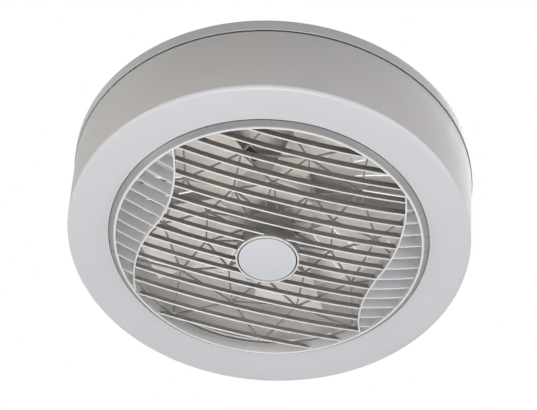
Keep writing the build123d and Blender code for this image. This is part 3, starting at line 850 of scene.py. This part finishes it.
    def ribs(self) -> MeshPile:
        """Carries a strip along the rib's line, its edges following the dome.

        Returns:
            The two S-shaped ribs.
        """
        pile = MeshPile()
        y = np.linspace(self.rib_start[1], self.rib_end[1], self.rib_stations)
        line = np.stack([self.rib_place(y), y], -1)
        ahead = np.gradient(line, axis=0)
        normal = np.stack([-ahead[:, 1], ahead[:, 0]], -1) / np.linalg.norm(ahead, axis=1)[:, None]
        low = self.lip_level + self.edge_height(np.hypot(line[:, 0], line[:, 1])) - self.rib_proud
        high = low + self.slat_height + 2 * self.rib_proud
        rings = [
            np.concatenate([line + side * normal * self.rib_wall / 2, level[:, None]], 1)
            for side, level in ((-1, low), (1, low), (1, high), (-1, high))
        ]
        rings = np.stack(rings, 1)
        for turn in turns(2, self.turn):
            pile.add_tube(turn_plan(rings, turn))
        return pile

    def rim(self) -> MeshPile:
        """Turns the rim's outline, with painted shade that deepens from the lip outwards over the cone.

        Returns:
            The cone-shaped rim with its round lip.
        """
        pile = MeshPile()
        lip = self.rim_inner + self.lip_width
        corners = [(self.rim_inner, self.lip_level, 0.7), (lip, self.lip_level, 0.9)]
        corners += [(self.rim_outer, self.rim_base, 0.4)]
        corners += [(self.rim_inner + wall, self.rim_top, 0.8) for wall in (self.rim_top_wall, 0.0)]
        outline = rounded_outline(corners, 4)
        # Share of the painted shade: none at the lip, growing outwards across the cone
        share = np.clip((outline[:, 0] - lip) / (self.rim_outer - lip), 0, 1)
        pile.add_turned(outline, RING_STEPS, share[None, :])
        return pile

    def hub(self) -> MeshPile:
        """Turns the hub's outline, with painted shade on all but its lower edge.

        Returns:
            The hub's wall, its floor and the boss on the shaft.
        """
        pile = MeshPile()
        inner = self.hub_radius - self.hub_wall
        under, over = self.hub_floor
        radius, height = self.boss
        corners = [(inner, self.hub_level, 0.6), (self.hub_radius, self.hub_level, 0.6)]
        corners += [(self.hub_radius, self.hub_top, 0.6), (inner, self.hub_top, 0.6), (inner, over, 0)]
        corners += [(radius, over, 0), (radius, height, 0.5), (self.shaft_radius, height, 0)]
        corners += [(self.shaft_radius, under, 0), (inner, under, 0)]
        outline = rounded_outline(corners, 4)
        # Shade 1 above the lower edge: painted shade on the hub's wall
        pile.add_turned(outline, HUB_STEPS, (outline[:, 1] > self.hub_level + self.hub_lip)[None, :] * 1.0)
        return pile

    def build(self, fan: Fan) -> None:
        """Makes the five pieces and mounts them in the grille's place.

        Args:
            fan: takes the pieces.
        """
        fan.mount(self.rim().build("grille_rim"), Body.LOUVRE, "rim_satin", "louvre_grille")
        middle, sides = self.slats()
        outside = sides.build("grille_side_slats", self.slat_edge)
        fan.mount(outside, Body.LOUVRE, "side_slats", slot="white_grille")
        slats = middle.build("grille_slats", self.slat_edge)
        for piece in (slats, self.ribs().build("grille_ribs", self.rib_edge), self.hub().build("grille_hub")):
            fan.mount(piece, Body.LOUVRE, "white_grille", slot="white_grille")


@dataclass
class CentreCap:
    """The round cap in the hub, set back by a dark gap and carried on three legs."""

    radius: float = 39.0
    level: float = -210.0
    wall: float = 3.0
    edge: float = 0.8
    leg_circle: float = 32.0
    leg_size: float = 4.0
    leg_top: float = -193.0
    leg_sink: float = 0.5

    def build(self, fan: Fan) -> None:
        """Makes the cap's disc and legs.

        Args:
            fan: takes the piece.
        """
        pile = MeshPile()
        corners = [(0, self.level, 0), (self.radius, self.level, self.edge)]
        corners += [(self.radius, self.level + self.wall, 0.3), (0, self.level + self.wall, 0)]
        pile.add_round(corners)
        half = self.leg_size / 2
        for turn in turns(3):
            low = (self.leg_circle - half, -self.leg_size, self.level + self.wall - self.leg_sink)
            pile.add_block(low, (self.leg_circle + half, self.leg_size, self.leg_top), turn)
        fan.mount(pile.build("cap"), Body.LOUVRE, "cap_plastic", "centre_cap")


@dataclass
class DrumSkin:
    """The drum's side wall with the neck of the dark groove, and the opal light ring under it."""

    radius: float = 275.0
    wall: float = 2.0
    neck_inset: float = 7.0
    pan_under: float = -37.0
    shell_top: float = -57.0
    shell_bottom: float = -165.0
    seam_level: float = -165.4
    face: float = -171.4
    light_wall: float = 2.4
    opening: float = 218.7
    inner_top: float = -157.5
    lug: Triple = (14.0, 10.4, 2.1)
    lug_gap: float = 0.3
    tab: Pair = (16.0, 16.0)

    def shell(self) -> MeshPile:
        """Turns the outline of the side wall and its neck.

        Returns:
            The wall, with four tabs under the pan.
        """
        pile = MeshPile()
        neck, inside = self.radius - self.neck_inset, self.radius - self.wall
        ledge = self.shell_top - self.wall
        neck_inside = neck - self.wall
        corners = [(self.radius, self.shell_bottom, 0.5), (self.radius, self.shell_top, 1.2)]
        corners += [(neck, self.shell_top, 0.4), (neck, self.pan_under, 0), (neck_inside, self.pan_under, 0)]
        corners += [(neck_inside, ledge, 0), (inside, ledge, 0.6), (inside, self.shell_bottom, 0.3)]
        pile.add_round(corners, around=DRUM_STEPS)
        depth, width = self.tab
        for turn in turns(4, 45.0):
            low = (neck_inside - depth, -width / 2, self.pan_under - self.wall)
            pile.add_block(low, (neck - self.wall / 2, width / 2, self.pan_under), turn)
        return pile

    def ring(self) -> MeshPile:
        """Turns the outline of the ring: flat face, large outer round and inner upstand.

        Returns:
            The ring, with six lugs for the clips.
        """
        pile = MeshPile()
        inside, lug_outer = self.face + self.light_wall, self.radius - self.wall - self.lug_gap
        back = lug_outer - self.light_wall
        upstand = self.opening + self.light_wall
        corners = [(self.opening, self.face, 0.8), (self.radius, self.face, 5.6)]
        corners += [(self.radius, self.seam_level, 0), (back, self.seam_level, 0), (back, inside, 0.8)]
        corners += [(upstand, inside, 0.8), (upstand, self.inner_top, 0.5), (self.opening, self.inner_top, 0.5)]
        pile.add_round(corners, 6, DRUM_STEPS)
        width, height, depth = self.lug
        for turn in turns(6, 15.0):
            low = (lug_outer - depth, -width / 2, inside)
            pile.add_block(low, (lug_outer, width / 2, self.seam_level + height), turn)
        return pile

    def build(self, fan: Fan) -> None:
        """Makes the wall and the ring."""
        fan.mount(self.shell().build("drum_wall"), Body.HOUSING, "white_shell", "drum_shell")
        fan.mount(self.ring().build("opal_ring"), Body.HOUSING, "opal_plastic", "light_ring")


@dataclass
class Impeller:
    """The wheel behind the grille: a cup round the motor with broad, twisted and swept blades."""

    count: int = 5
    cup_inner: float = 57.0
    cup_outer: float = 59.5
    cup_low: float = -117.0
    cup_floor: float = -114.0
    cup_top: float = -71.0
    tip: float = 203.0
    middle: float = -97.0
    root_half: float = 29.0
    tip_half: float = 50.3
    sweep: float = 26.0
    pitch: Pair = (32.0, 20.0)
    camber: float = 7.0
    thickness: float = 2.4
    root_sink: float = 1.2
    spread_limit: float = 0.9
    stations: int = 30
    around: int = 40

    def blade(self) -> np.ndarray:
        """Works out one blade from root to tip.

        At a share s of the way out, the blade spans y = sweep * s +- half(s), with x on the circle of its radius.
        Its height is the middle, plus the place across times tan(pitch(s)), plus a parabola of camber, plus or
        minus half the thickness times the root of a sine, which rounds the edges.

        Returns:
            The blade's rings, in the shape (stations, points round, 3).
        """
        s = np.linspace(0, 1, self.stations)[:, None]
        angle = np.linspace(0, 2 * math.pi, self.around, endpoint=False)[None, :]
        across = np.cos(angle)
        half = self.root_half + (self.tip_half - self.root_half) * s
        radius = self.cup_outer - self.root_sink + (self.tip - self.cup_outer + self.root_sink) * s
        y = self.sweep * s + half * across
        x = np.sqrt(radius**2 - np.minimum(y**2, radius**2 * self.spread_limit))
        pitch = np.radians(self.pitch[0] + (self.pitch[1] - self.pitch[0]) * s)
        skin = np.sign(np.sin(angle)) * np.sqrt(np.abs(np.sin(angle))) * self.thickness / 2
        z = self.middle + half * across * np.tan(pitch) + self.camber * (1 - across**2) - self.camber / 2 + skin
        return np.stack([x, y, z], -1)

    def build(self, fan: Fan) -> None:
        """Makes the cup and the blades as one piece.

        Args:
            fan: takes the piece.
        """
        pile = MeshPile()
        corners = [(0, self.cup_low, 0), (self.cup_outer, self.cup_low, 5.0)]
        corners += [(self.cup_outer, self.cup_top, 0.9), (self.cup_inner, self.cup_top, 0.9)]
        corners += [(self.cup_inner, self.cup_floor, 2.6), (0, self.cup_floor, 0)]
        pile.add_round(corners, 5)
        for turn in turns(self.count):
            pile.add_tube(turn_plan(self.blade(), turn))
        fan.mount(pile.build("wheel"), Body.IMPELLER, "blade_plastic", "impeller")


@dataclass
class Screws:
    """A ring of pan-head screws with crossed recesses, in place of one node of plain ones."""

    node: str
    body: Body
    circle: float
    seat: float
    length: float
    up: bool
    start: float = 45.0
    count: int = 4
    head: float = 3.7
    height: float = 2.0
    shank: float = 2.0
    fullness: float = 0.8
    recess: Triple = (0.42, 1.9, 0.7)
    skirt: float = 0.2
    rise_steps: int = 9
    around: int = 40

    def one(self) -> np.ndarray:
        """Works out one screw on the axis, its head above the seat.

        The head's outline is a quarter of an ellipse, made fuller by a power of its height. Over the skirt, the
        surface is lowered by the recess's depth inside a cross: where the smaller of |x| and |y| is under the
        recess's half width and the larger under its reach.

        Returns:
            The screw's rings, in the shape (stations, points round, 3).
        """
        rise = np.linspace(0, 1, self.rise_steps)
        flank = self.head * np.sin(rise * math.pi / 2)
        dome = self.height * np.cos(rise * math.pi / 2) ** self.fullness
        radius = np.concatenate([flank, [self.head, self.shank, self.shank, 0.0]])
        height = np.concatenate([dome, [0.0, 0.0, -self.length, -self.length]])
        angle = np.arange(self.around)[None, :] * (2 * math.pi / self.around)
        x, y = radius[:, None] * np.cos(angle), radius[:, None] * np.sin(angle)
        z = self.seat + height[:, None] + 0 * angle
        half, reach, depth = self.recess
        small, large = np.minimum(abs(x), abs(y)), np.maximum(abs(x), abs(y))
        inside = (small < half) & (large < reach) & (height[:, None] > self.skirt)
        return np.stack([x, y, np.where(inside, z - depth, z)], -1)

    def build(self, fan: Fan) -> None:
        """Makes the ring of screws.

        Args:
            fan: takes the piece.
        """
        pile = MeshPile()
        rings = self.one()
        if not self.up:
            rings[..., 2] = 2 * self.seat - rings[..., 2]
        rings[..., 0] += self.circle
        quads = grid_quads(*rings.shape[:2], False, True)
        for turn in turns(self.count, self.start):
            pile.add(turn_plan(rings, turn), quads)
        fan.mount(pile.build("fine_" + self.node), self.body, "zinc_steel", self.node)


@dataclass
class TopPan:
    """The pan under the canopy: a plate with radial air slots whose rim turns down into the plain band."""

    wall: float = 2.0
    level: float = -36.0
    hole: float = 24.0
    radius: float = 276.2
    band_bottom: float = -54.5
    corner: float = 1.6
    slots: int = 28
    slot_half: float = 6.5
    slot_reach: Pair = (112.0, 208.0)
    slot_corner: float = 3.0
    row_margin: float = 8.0
    hood_rise: float = 3.6
    hood_ramp: float = 9.0
    hood_lap: float = 3.0
    hood_wall: float = 0.8
    hood_gap: float = 0.1
    hood_arch: float = 0.25
    edge: float = 0.4
    edge_angle: float = 50.0
    cells: int = 8
    plate_rows: tuple[int, int, int] = (5, 7, 4)
    corner_rows: int = 6
    bend_rows: int = 5
    hood_grid: tuple[int, int] = (25, 7)
    slack: float = 0.01

    def half_width(self, radius: np.ndarray) -> np.ndarray:
        """Half the slot's width at a radius: the full half, less a quarter circle at either end.

        Args:
            radius: the radii.

        Returns:
            The half width at each.
        """
        low, high = self.slot_reach
        near = np.clip(np.minimum(radius - low, high - radius), 0, self.slot_corner)
        return self.slot_half - self.slot_corner + np.sqrt(self.slot_corner**2 - (self.slot_corner - near) ** 2)

    def rows(self) -> tuple[np.ndarray, np.ndarray]:
        """Places the sheet's rows: outwards over the plate, then down round the corner's quarter circle.

        Returns:
            The radius and the height of each row.
        """
        (low, high), margin, outer = self.slot_reach, self.row_margin, self.radius - self.wall / 2
        inside, along, outside = self.plate_rows
        round_off = self.slot_corner * (1 - np.cos(np.linspace(0, math.pi / 2, self.corner_rows)))
        plate = [np.linspace(self.hole, low - margin, inside), low + round_off]
        plate += [np.linspace(low + margin, high - margin, along), (high - round_off)[::-1]]
        plate = np.concatenate([*plate, np.linspace(high + margin, outer - self.corner, outside)])
        bend = np.linspace(0, math.pi / 2, self.bend_rows)[1:]
        radius = np.concatenate([plate, outer - self.corner + self.corner * np.sin(bend), [outer, outer]])
        turned_down = self.level - self.corner + self.corner * np.cos(bend)
        drop = np.linspace(self.level - self.corner, self.band_bottom, 3)[1:]
        return radius, np.concatenate([np.full(len(plate), self.level), turned_down, drop])

    def sheet(self) -> tuple[np.ndarray, np.ndarray]:
        """Works out the sheet at the middle of the pan's wall.

        In each of the equal sectors the columns are spaced evenly. Between the slots' ends the two that border a
        slot move to the angle whose sine is the slot's half width over the radius, with the others in proportion,
        and the quads between those two are left out.

        Returns:
            The sheet's points and quads.
        """
        radius, height = self.rows()
        sector, half = 2 * math.pi / self.slots, self.cells / 2
        low, high = self.slot_reach
        in_slot = (radius > low - self.slack) & (radius < high + self.slack)
        border = np.arcsin(np.clip(self.half_width(radius) / radius, 0, 1))[:, None]
        side, place = self.cells // 4, np.arange(self.cells) - half
        flank = (half - abs(place)) / side
        beside = np.sign(place) * (sector / 2 * (1 - flank) + border * flank)
        fitted = np.where(abs(place) < half - side, border * place / (half - side), beside)
        column = np.where(in_slot[:, None], fitted, place / self.cells * sector)
        middles = np.arange(self.slots) * sector + sector / 2
        angle = (column[:, None, :] + middles[None, :, None]).reshape(len(radius), -1)
        x, y = radius[:, None] * np.cos(angle), radius[:, None] * np.sin(angle)
        points = np.stack([x, y, height[:, None] + 0 * angle], -1)
        quads = grid_quads(*points.shape[:2], False, True).reshape(len(radius) - 1, self.slots, self.cells, 4)
        keep = np.ones(quads.shape[:3], bool)
        rows = np.flatnonzero(in_slot)[:-1]
        keep[rows[:, None], :, np.arange(side, self.cells - side)[None, :]] = False
        used, quads = np.unique(quads[keep], return_inverse=True)
        return points.reshape(-1, 3)[used], quads.reshape(-1, 4)

    def hoods(self, fan: Fan) -> None:
        """Makes the pressed hoods that bridge the slots, open along both sides for the air.

        Each is a strip as wide as its slot. At each end it rises from the plate over a ramp's length, by the
        smooth step 3 t^2 - 2 t^3, and it is arched across by a parabola.

        Args:
            fan: takes the piece.
        """
        pile = MeshPile()
        (low, high), lap, (stations, wide) = self.slot_reach, self.hood_lap, self.hood_grid
        radius = np.linspace(low - lap, high + lap, stations)[:, None]
        across = np.linspace(-1, 1, wide)[None, :]
        t = np.clip(np.minimum(radius - low + lap, high + lap - radius) / self.hood_ramp, 0, 1)
        rise = self.hood_rise * (3 * t**2 - 2 * t**3) * (1 - self.hood_arch * across**2)
        y = self.slot_half * across + 0 * radius
        strip = np.stack([radius + 0 * across, y, self.level + self.wall / 2 + self.hood_gap + rise], -1)
        for turn in turns(self.slots, 180.0 / self.slots):
            pile.add(turn_plan(strip, turn), grid_quads(*strip.shape[:2]), 1.0)
        piece = pile.build("slot_hoods")
        thicken(piece, self.hood_wall)
        fan.mount(piece, Body.HOUSING, "white_paint", slot="white_paint")

    def build(self, fan: Fan) -> None:
        """Makes the sheet, gives it its wall, softens its edges and adds the hoods.

        Args:
            fan: takes the pieces.
        """
        pile = MeshPile()
        points, quads = self.sheet()
        # The plate takes the second colour, its own white; the band keeps the base grey, a painted shade
        pile.add(points, quads, (points[..., 2] > self.level - self.slack) * 1.0)
        self.hoods(fan)
        piece = pile.build("fine_top_pan")
        thicken(piece, self.wall, True)
        soften(piece, self.edge, self.edge_angle)
        fan.mount(piece, Body.HOUSING, "white_paint", "top_pan")


@dataclass
class Canopy:
    """The small cup on the ceiling that hides the bracket and the wiring."""

    radius: float = 72.0
    wall: float = 1.2
    top: float = -1.5
    seat: float = -35.0
    flange: float = 46.0

    def build(self, fan: Fan) -> None:
        """Turns the cup's outline: wall, bottom flange and rounded corner.

        Args:
            fan: takes the piece.
        """
        pile = MeshPile()
        inner = self.radius - self.wall
        corners = [(self.flange, self.seat, 0.3), (self.radius, self.seat, 2.2), (self.radius, self.top, 0.4)]
        corners += [(inner, self.top, 0.4), (inner, self.seat + self.wall, 1.2)]
        pile.add_round([*corners, (self.flange, self.seat + self.wall, 0.3)], 5)
        fan.mount(pile.build("fine_canopy"), Body.HOUSING, "white_paint", "canopy")


@dataclass
class FingerGuard:
    """The thin net behind the grille: an outer ring, zigzag ribs, two rings of bars and the motor's cup."""

    under: float = -154.7
    wall: float = 3.2
    rib: float = 2.4
    rib_taper: float = 0.8
    ring_outer: float = 218.7
    ring_width: float = 10.0
    cup_radius: float = 36.0
    cup_depth: float = 26.0
    cup_wall: float = 2.0
    shaft_hole: float = 4.0
    nodes: int = 10
    bar_circles: Pair = (90.0, 146.0)
    boss_radius: float = 3.0
    boss_proud: Pair = (0.25, 0.1)
    ring_proud: float = 0.05

    def lines(self) -> np.ndarray:
        """Works out the ribs in plan, as zigzags between the corners on four circles.

        On circle number k, corner i lies at the angle (i + k / 2) steps. Each corner is joined to the nearest two
        of the next circle out, and on the two middle circles also to its neighbour.

        Returns:
            Start and end of each rib, in the shape (ribs, 2, 2).
        """
        step = 2 * math.pi / self.nodes
        cup, ring = self.cup_radius - self.cup_wall / 2, self.ring_outer - self.ring_width / 2
        circles = (cup, *self.bar_circles, ring)
        corner = np.arange(self.nodes)
        ribs = []
        for number, (near, far) in enumerate(zip(circles, circles[1:])):
            here = corner + number / 2
            ends = [self.polar(far, (here + side) * step) for side in (-0.5, 0.5)]
            if number:
                ends.append(self.polar(near, (here + 1) * step))
            ribs += [np.stack([self.polar(near, here * step), end], 1) for end in ends]
        return np.concatenate(ribs)

    @staticmethod
    def polar(circle: float, angle: np.ndarray) -> np.ndarray:
        """Plan points (r cos a, r sin a) on a circle."""
        return np.stack([circle * np.cos(angle), circle * np.sin(angle)], -1)

    def net(self, pile: MeshPile) -> None:
        """Adds the ribs: a rounded section carried along each line, and a low round boss where lines meet.

        Args:
            pile: takes the ribs and the bosses.
        """
        half, deep = self.rib / 2, self.wall
        low = half * self.rib_taper
        corners = [(-low, 0.0, 0.8), (low, 0.0, 0.8), (half, deep, 0.5), (-half, deep, 0.5)]
        section = rounded_outline(corners, 3)
        lines = self.lines()
        for start, stop in lines:
            ahead = (stop - start) / np.linalg.norm(stop - start)
            across = np.array([-ahead[1], ahead[0]])
            plan = np.stack([start, stop])[:, None, :] + section[None, :, 0, None] * across
            level = np.broadcast_to(self.under + section[None, :, 1, None], plan.shape[:2] + (1,))
            pile.add_tube(np.concatenate([plan, level], -1))
        wide, low, high = self.boss_radius, -self.boss_proud[0], deep + self.boss_proud[1]
        boss = rounded_outline([(0, low, 0), (wide, low, 0.8), (wide, high, 0.3), (0, high, 0)], 3)
        for place in np.unique(np.round(lines[:, 0], 3), axis=0):
            if np.hypot(*place) >= self.cup_radius:
                pile.add_turned(boss, BOSS_STEPS, centre=(*place, self.under))

    def build(self, fan: Fan) -> None:
        """Makes the ring, the net and the cup as one piece.

        Args:
            fan: takes the piece.
        """
        pile = MeshPile()
        top, floor, under = self.under + self.wall, self.under - self.cup_depth, self.under - self.ring_proud
        ring_inner, cup_inner = self.ring_outer - self.ring_width, self.cup_radius - self.cup_wall
        corners = [(ring_inner, under, 0.6), (self.ring_outer, under, 0.4)]
        pile.add_round([*corners, (self.ring_outer, top, 0.4), (ring_inner, top, 0.6)], 3, RING_STEPS, 1.0)
        inside, over = floor + self.cup_wall, top + self.ring_proud
        corners = [(self.shaft_hole, floor, 0.5), (self.cup_radius, floor, 2.4), (self.cup_radius, over, 0.5)]
        corners += [(cup_inner, over, 0.5), (cup_inner, inside, 0.8), (self.shaft_hole, inside, 0.5)]
        pile.add_round(corners, shade=0.25)
        self.net(pile)
        fan.mount(pile.build("fine_finger_guard"), Body.HOUSING, "guard_plastic", "finger_guard")


SCREWS = (
    Screws("plate_screws", Body.HOUSING, 58.0, -33.8, 5.7, True),
    Screws("shell_screws", Body.HOUSING, 258.0, -35.0, 6.5, True),
    Screws("isolator_screws", Body.HOUSING, 84.0, -35.0, 13.5, True),
    Screws("guard_screws", Body.HOUSING, 215.0, -154.7, 7.7, False),
    Screws("impeller_screws", Body.IMPELLER, 34.0, -117.0, 7.0, False, start=0.0, count=3),
)
NODE_FINISHES = {
    "rotor_can": "turned_steel",
    "rotor_lid": "turned_steel",
    "motor_bearings": "turned_steel",
    "air_duct": "duct_white",
}


# Camera and light


@dataclass
class Photographer:
    """The camera of the photograph, as fitted to the outline and the circles of the fan."""

    elevation: float = 46.65
    roll: float = 4.22
    distance: float = 4500.0
    shift: Pair = (-0.09, -39.44)
    focal: float = 3312.7
    target: float = -179.0
    sight: float = 100.0

    @staticmethod
    def turned(first: Vector, second: Vector, angle: float) -> tuple[Vector, Vector]:
        """Two axes turned in their own plane, the first towards the second."""
        cosine, sine = math.cos(angle), math.sin(angle)
        return first * cosine + second * sine, second * cosine - first * sine

    def build(self) -> None:
        """Places the camera.

        It looks up along an elevation towards the rim's middle, rolled about its own axis, and then turned by
        two small angles that bring the rim's middle to its place off the picture's centre.
        """
        rise = math.radians(self.elevation)
        pan, tilt = math.atan2(self.shift[0], self.focal), math.atan2(self.shift[1], self.focal)
        forward = Vector((0, math.cos(rise), math.sin(rise)))
        place = -forward * self.distance + Vector((0, 0, self.target))
        right, up = Vector((1, 0, 0)), Vector((0, -math.sin(rise), math.cos(rise)))
        right, up = self.turned(right, up, math.radians(self.roll))
        right, ahead = self.turned(right, forward, pan)
        up, ahead = self.turned(up, ahead, tilt)
        data = bpy.data.cameras.new("photo_camera")
        data.sensor_fit, data.sensor_width = "HORIZONTAL", SENSOR_WIDTH
        data.lens = self.focal * SENSOR_WIDTH / PHOTO_WIDTH
        data.clip_end = self.sight
        camera = add_object("photo_camera", data)
        turn = Matrix((right, up, -ahead)).transposed().to_4x4()
        camera.matrix_world = Matrix.Translation(place * MM) @ turn
        bpy.context.scene.camera = camera
        LOG.info("camera at %s", tuple(round(v, 3) for v in camera.location))


@dataclass(frozen=True)
class Lamp:
    """One soft square lamp that looks at the fan, with its place and size in metres."""

    name: str
    place: Triple
    size: float
    power: float
    colour: Triple = (1.0, 1.0, 1.0)

    def build(self, aim: Vector) -> None:
        """Places the lamp, unseen by the camera.

        Args:
            aim: the place that it faces, in metres.
        """
        data = bpy.data.lights.new(self.name, "AREA")
        data.shape, data.size, data.energy, data.color = "SQUARE", self.size, self.power, self.colour
        lamp = add_object(self.name, data)
        lamp.location = self.place
        lamp.rotation_euler = (aim - Vector(self.place)).to_track_quat("-Z", "Y").to_euler()
        lamp.visible_camera = False


@dataclass
class Studio:
    """A pale floor, a white background and soft lamps, in metres; the grain's depth is in millimetres."""

    floor_level: float = -9.0
    floor_reach: float = 21.0
    floor_lines: int = 9
    floor_colour: Triple = (0.80, 0.80, 0.79)
    floor_speckle: float = 0.03
    floor_roughness: float = 0.85
    patch_scale: float = 3.0
    grain_scale: float = 120.0
    grain_depth: float = 0.2
    grain_strength: float = 0.3
    floor_glow: float = 0.90
    ambient: float = 0.24
    aim: Triple = (0.0, 0.0, -0.12)
    lamps: tuple[Lamp, ...] = (
        Lamp("under_lamp", (-0.05, -0.52, -2.45), 1.1, 38.5, (1.0, 0.99, 1.0)),
        Lamp("right_lamp", (2.4, -1.3, -0.6), 1.6, 27.0, (0.98, 0.98, 1.0)),
        Lamp("left_lamp", (-2.6, -1.0, -0.7), 1.6, 26.0, (1.0, 0.99, 0.98)),
        Lamp("top_lamp", (0.8, 1.2, 2.4), 2.4, 40.0),
    )

    def floor(self) -> None:
        """Makes the floor: a wide level grid with a faint speckle, white to the camera and pale as a light."""
        steps = np.linspace(-self.floor_reach, self.floor_reach, self.floor_lines)
        x, y = np.meshgrid(steps, steps)
        points = np.stack([x, y, np.full_like(x, self.floor_level)], -1) / MM
        pile = MeshPile()
        pile.add(points, grid_quads(self.floor_lines, self.floor_lines))
        piece = pile.build("floor")
        graph = Paint("floor_paint")
        colour = self.floor_colour
        paler = tuple(min(1.0, share + self.floor_speckle) for share in colour)
        seen = graph.add("ShaderNodeLightPath").outputs["Is Camera Ray"]
        glow = graph.add("ShaderNodeMapRange", {"Value": seen, "To Max": self.floor_glow}).outputs[0]
        patches = graph.blend(graph.noise(self.patch_scale), colour, paler)
        graph.set(Base_Color=patches, Roughness=self.floor_roughness)
        graph.set(Emission_Color=(1, 1, 1, 1), Emission_Strength=glow)
        graph.bump(graph.noise(self.grain_scale), self.grain_depth, self.grain_strength)
        piece.data.materials.append(graph.material)

    def world(self) -> None:
        """Makes the world white to the camera and to reflections, and dimmer as a light."""
        world = bpy.data.worlds.new("studio_world")
        bpy.context.scene.world = world
        graph = Graph(world, "Background")
        rays = graph.add("ShaderNodeLightPath").outputs
        seen = rays["Is Camera Ray"]
        for kind in ("Is Glossy Ray", "Is Transmission Ray"):
            seen = graph.add("ShaderNodeMath", {0: seen, 1: rays[kind]}, operation="MAXIMUM").outputs[0]
        level = graph.add("ShaderNodeMapRange", {"Value": seen, "To Min": self.ambient}).outputs[0]
        graph.set(Strength=level, Color=(1, 1, 1, 1))

    def build(self) -> None:
        """Makes the world, the floor and the lamps."""
        self.world()
        self.floor()
        for lamp in self.lamps:
            lamp.build(Vector(self.aim))


def main() -> None:
    """Loads the frame, builds each sub-assembly and dresses the rest."""
    logging.basicConfig(level=logging.INFO, format="%(name)s: %(message)s")
    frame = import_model()
    bpy.context.scene.view_settings.view_transform = "Standard"
    Photographer().build()
    fan = Fan(Paintshop(frame["record"]))
    shells = (TopPan(), Canopy(), DrumSkin(), FingerGuard(), Impeller(), LouvreGrille(), CentreCap())
    for assembly in (*shells, *SCREWS):
        assembly.build(fan)
    for name, node in frame["nodes"].items():
        if name not in fan.replaced:
            fan.shop.dress_node(node, NODE_FINISHES.get(name, fan.shop.slots[name]))
    Studio().build()


if __name__ == "__main__":
    main()
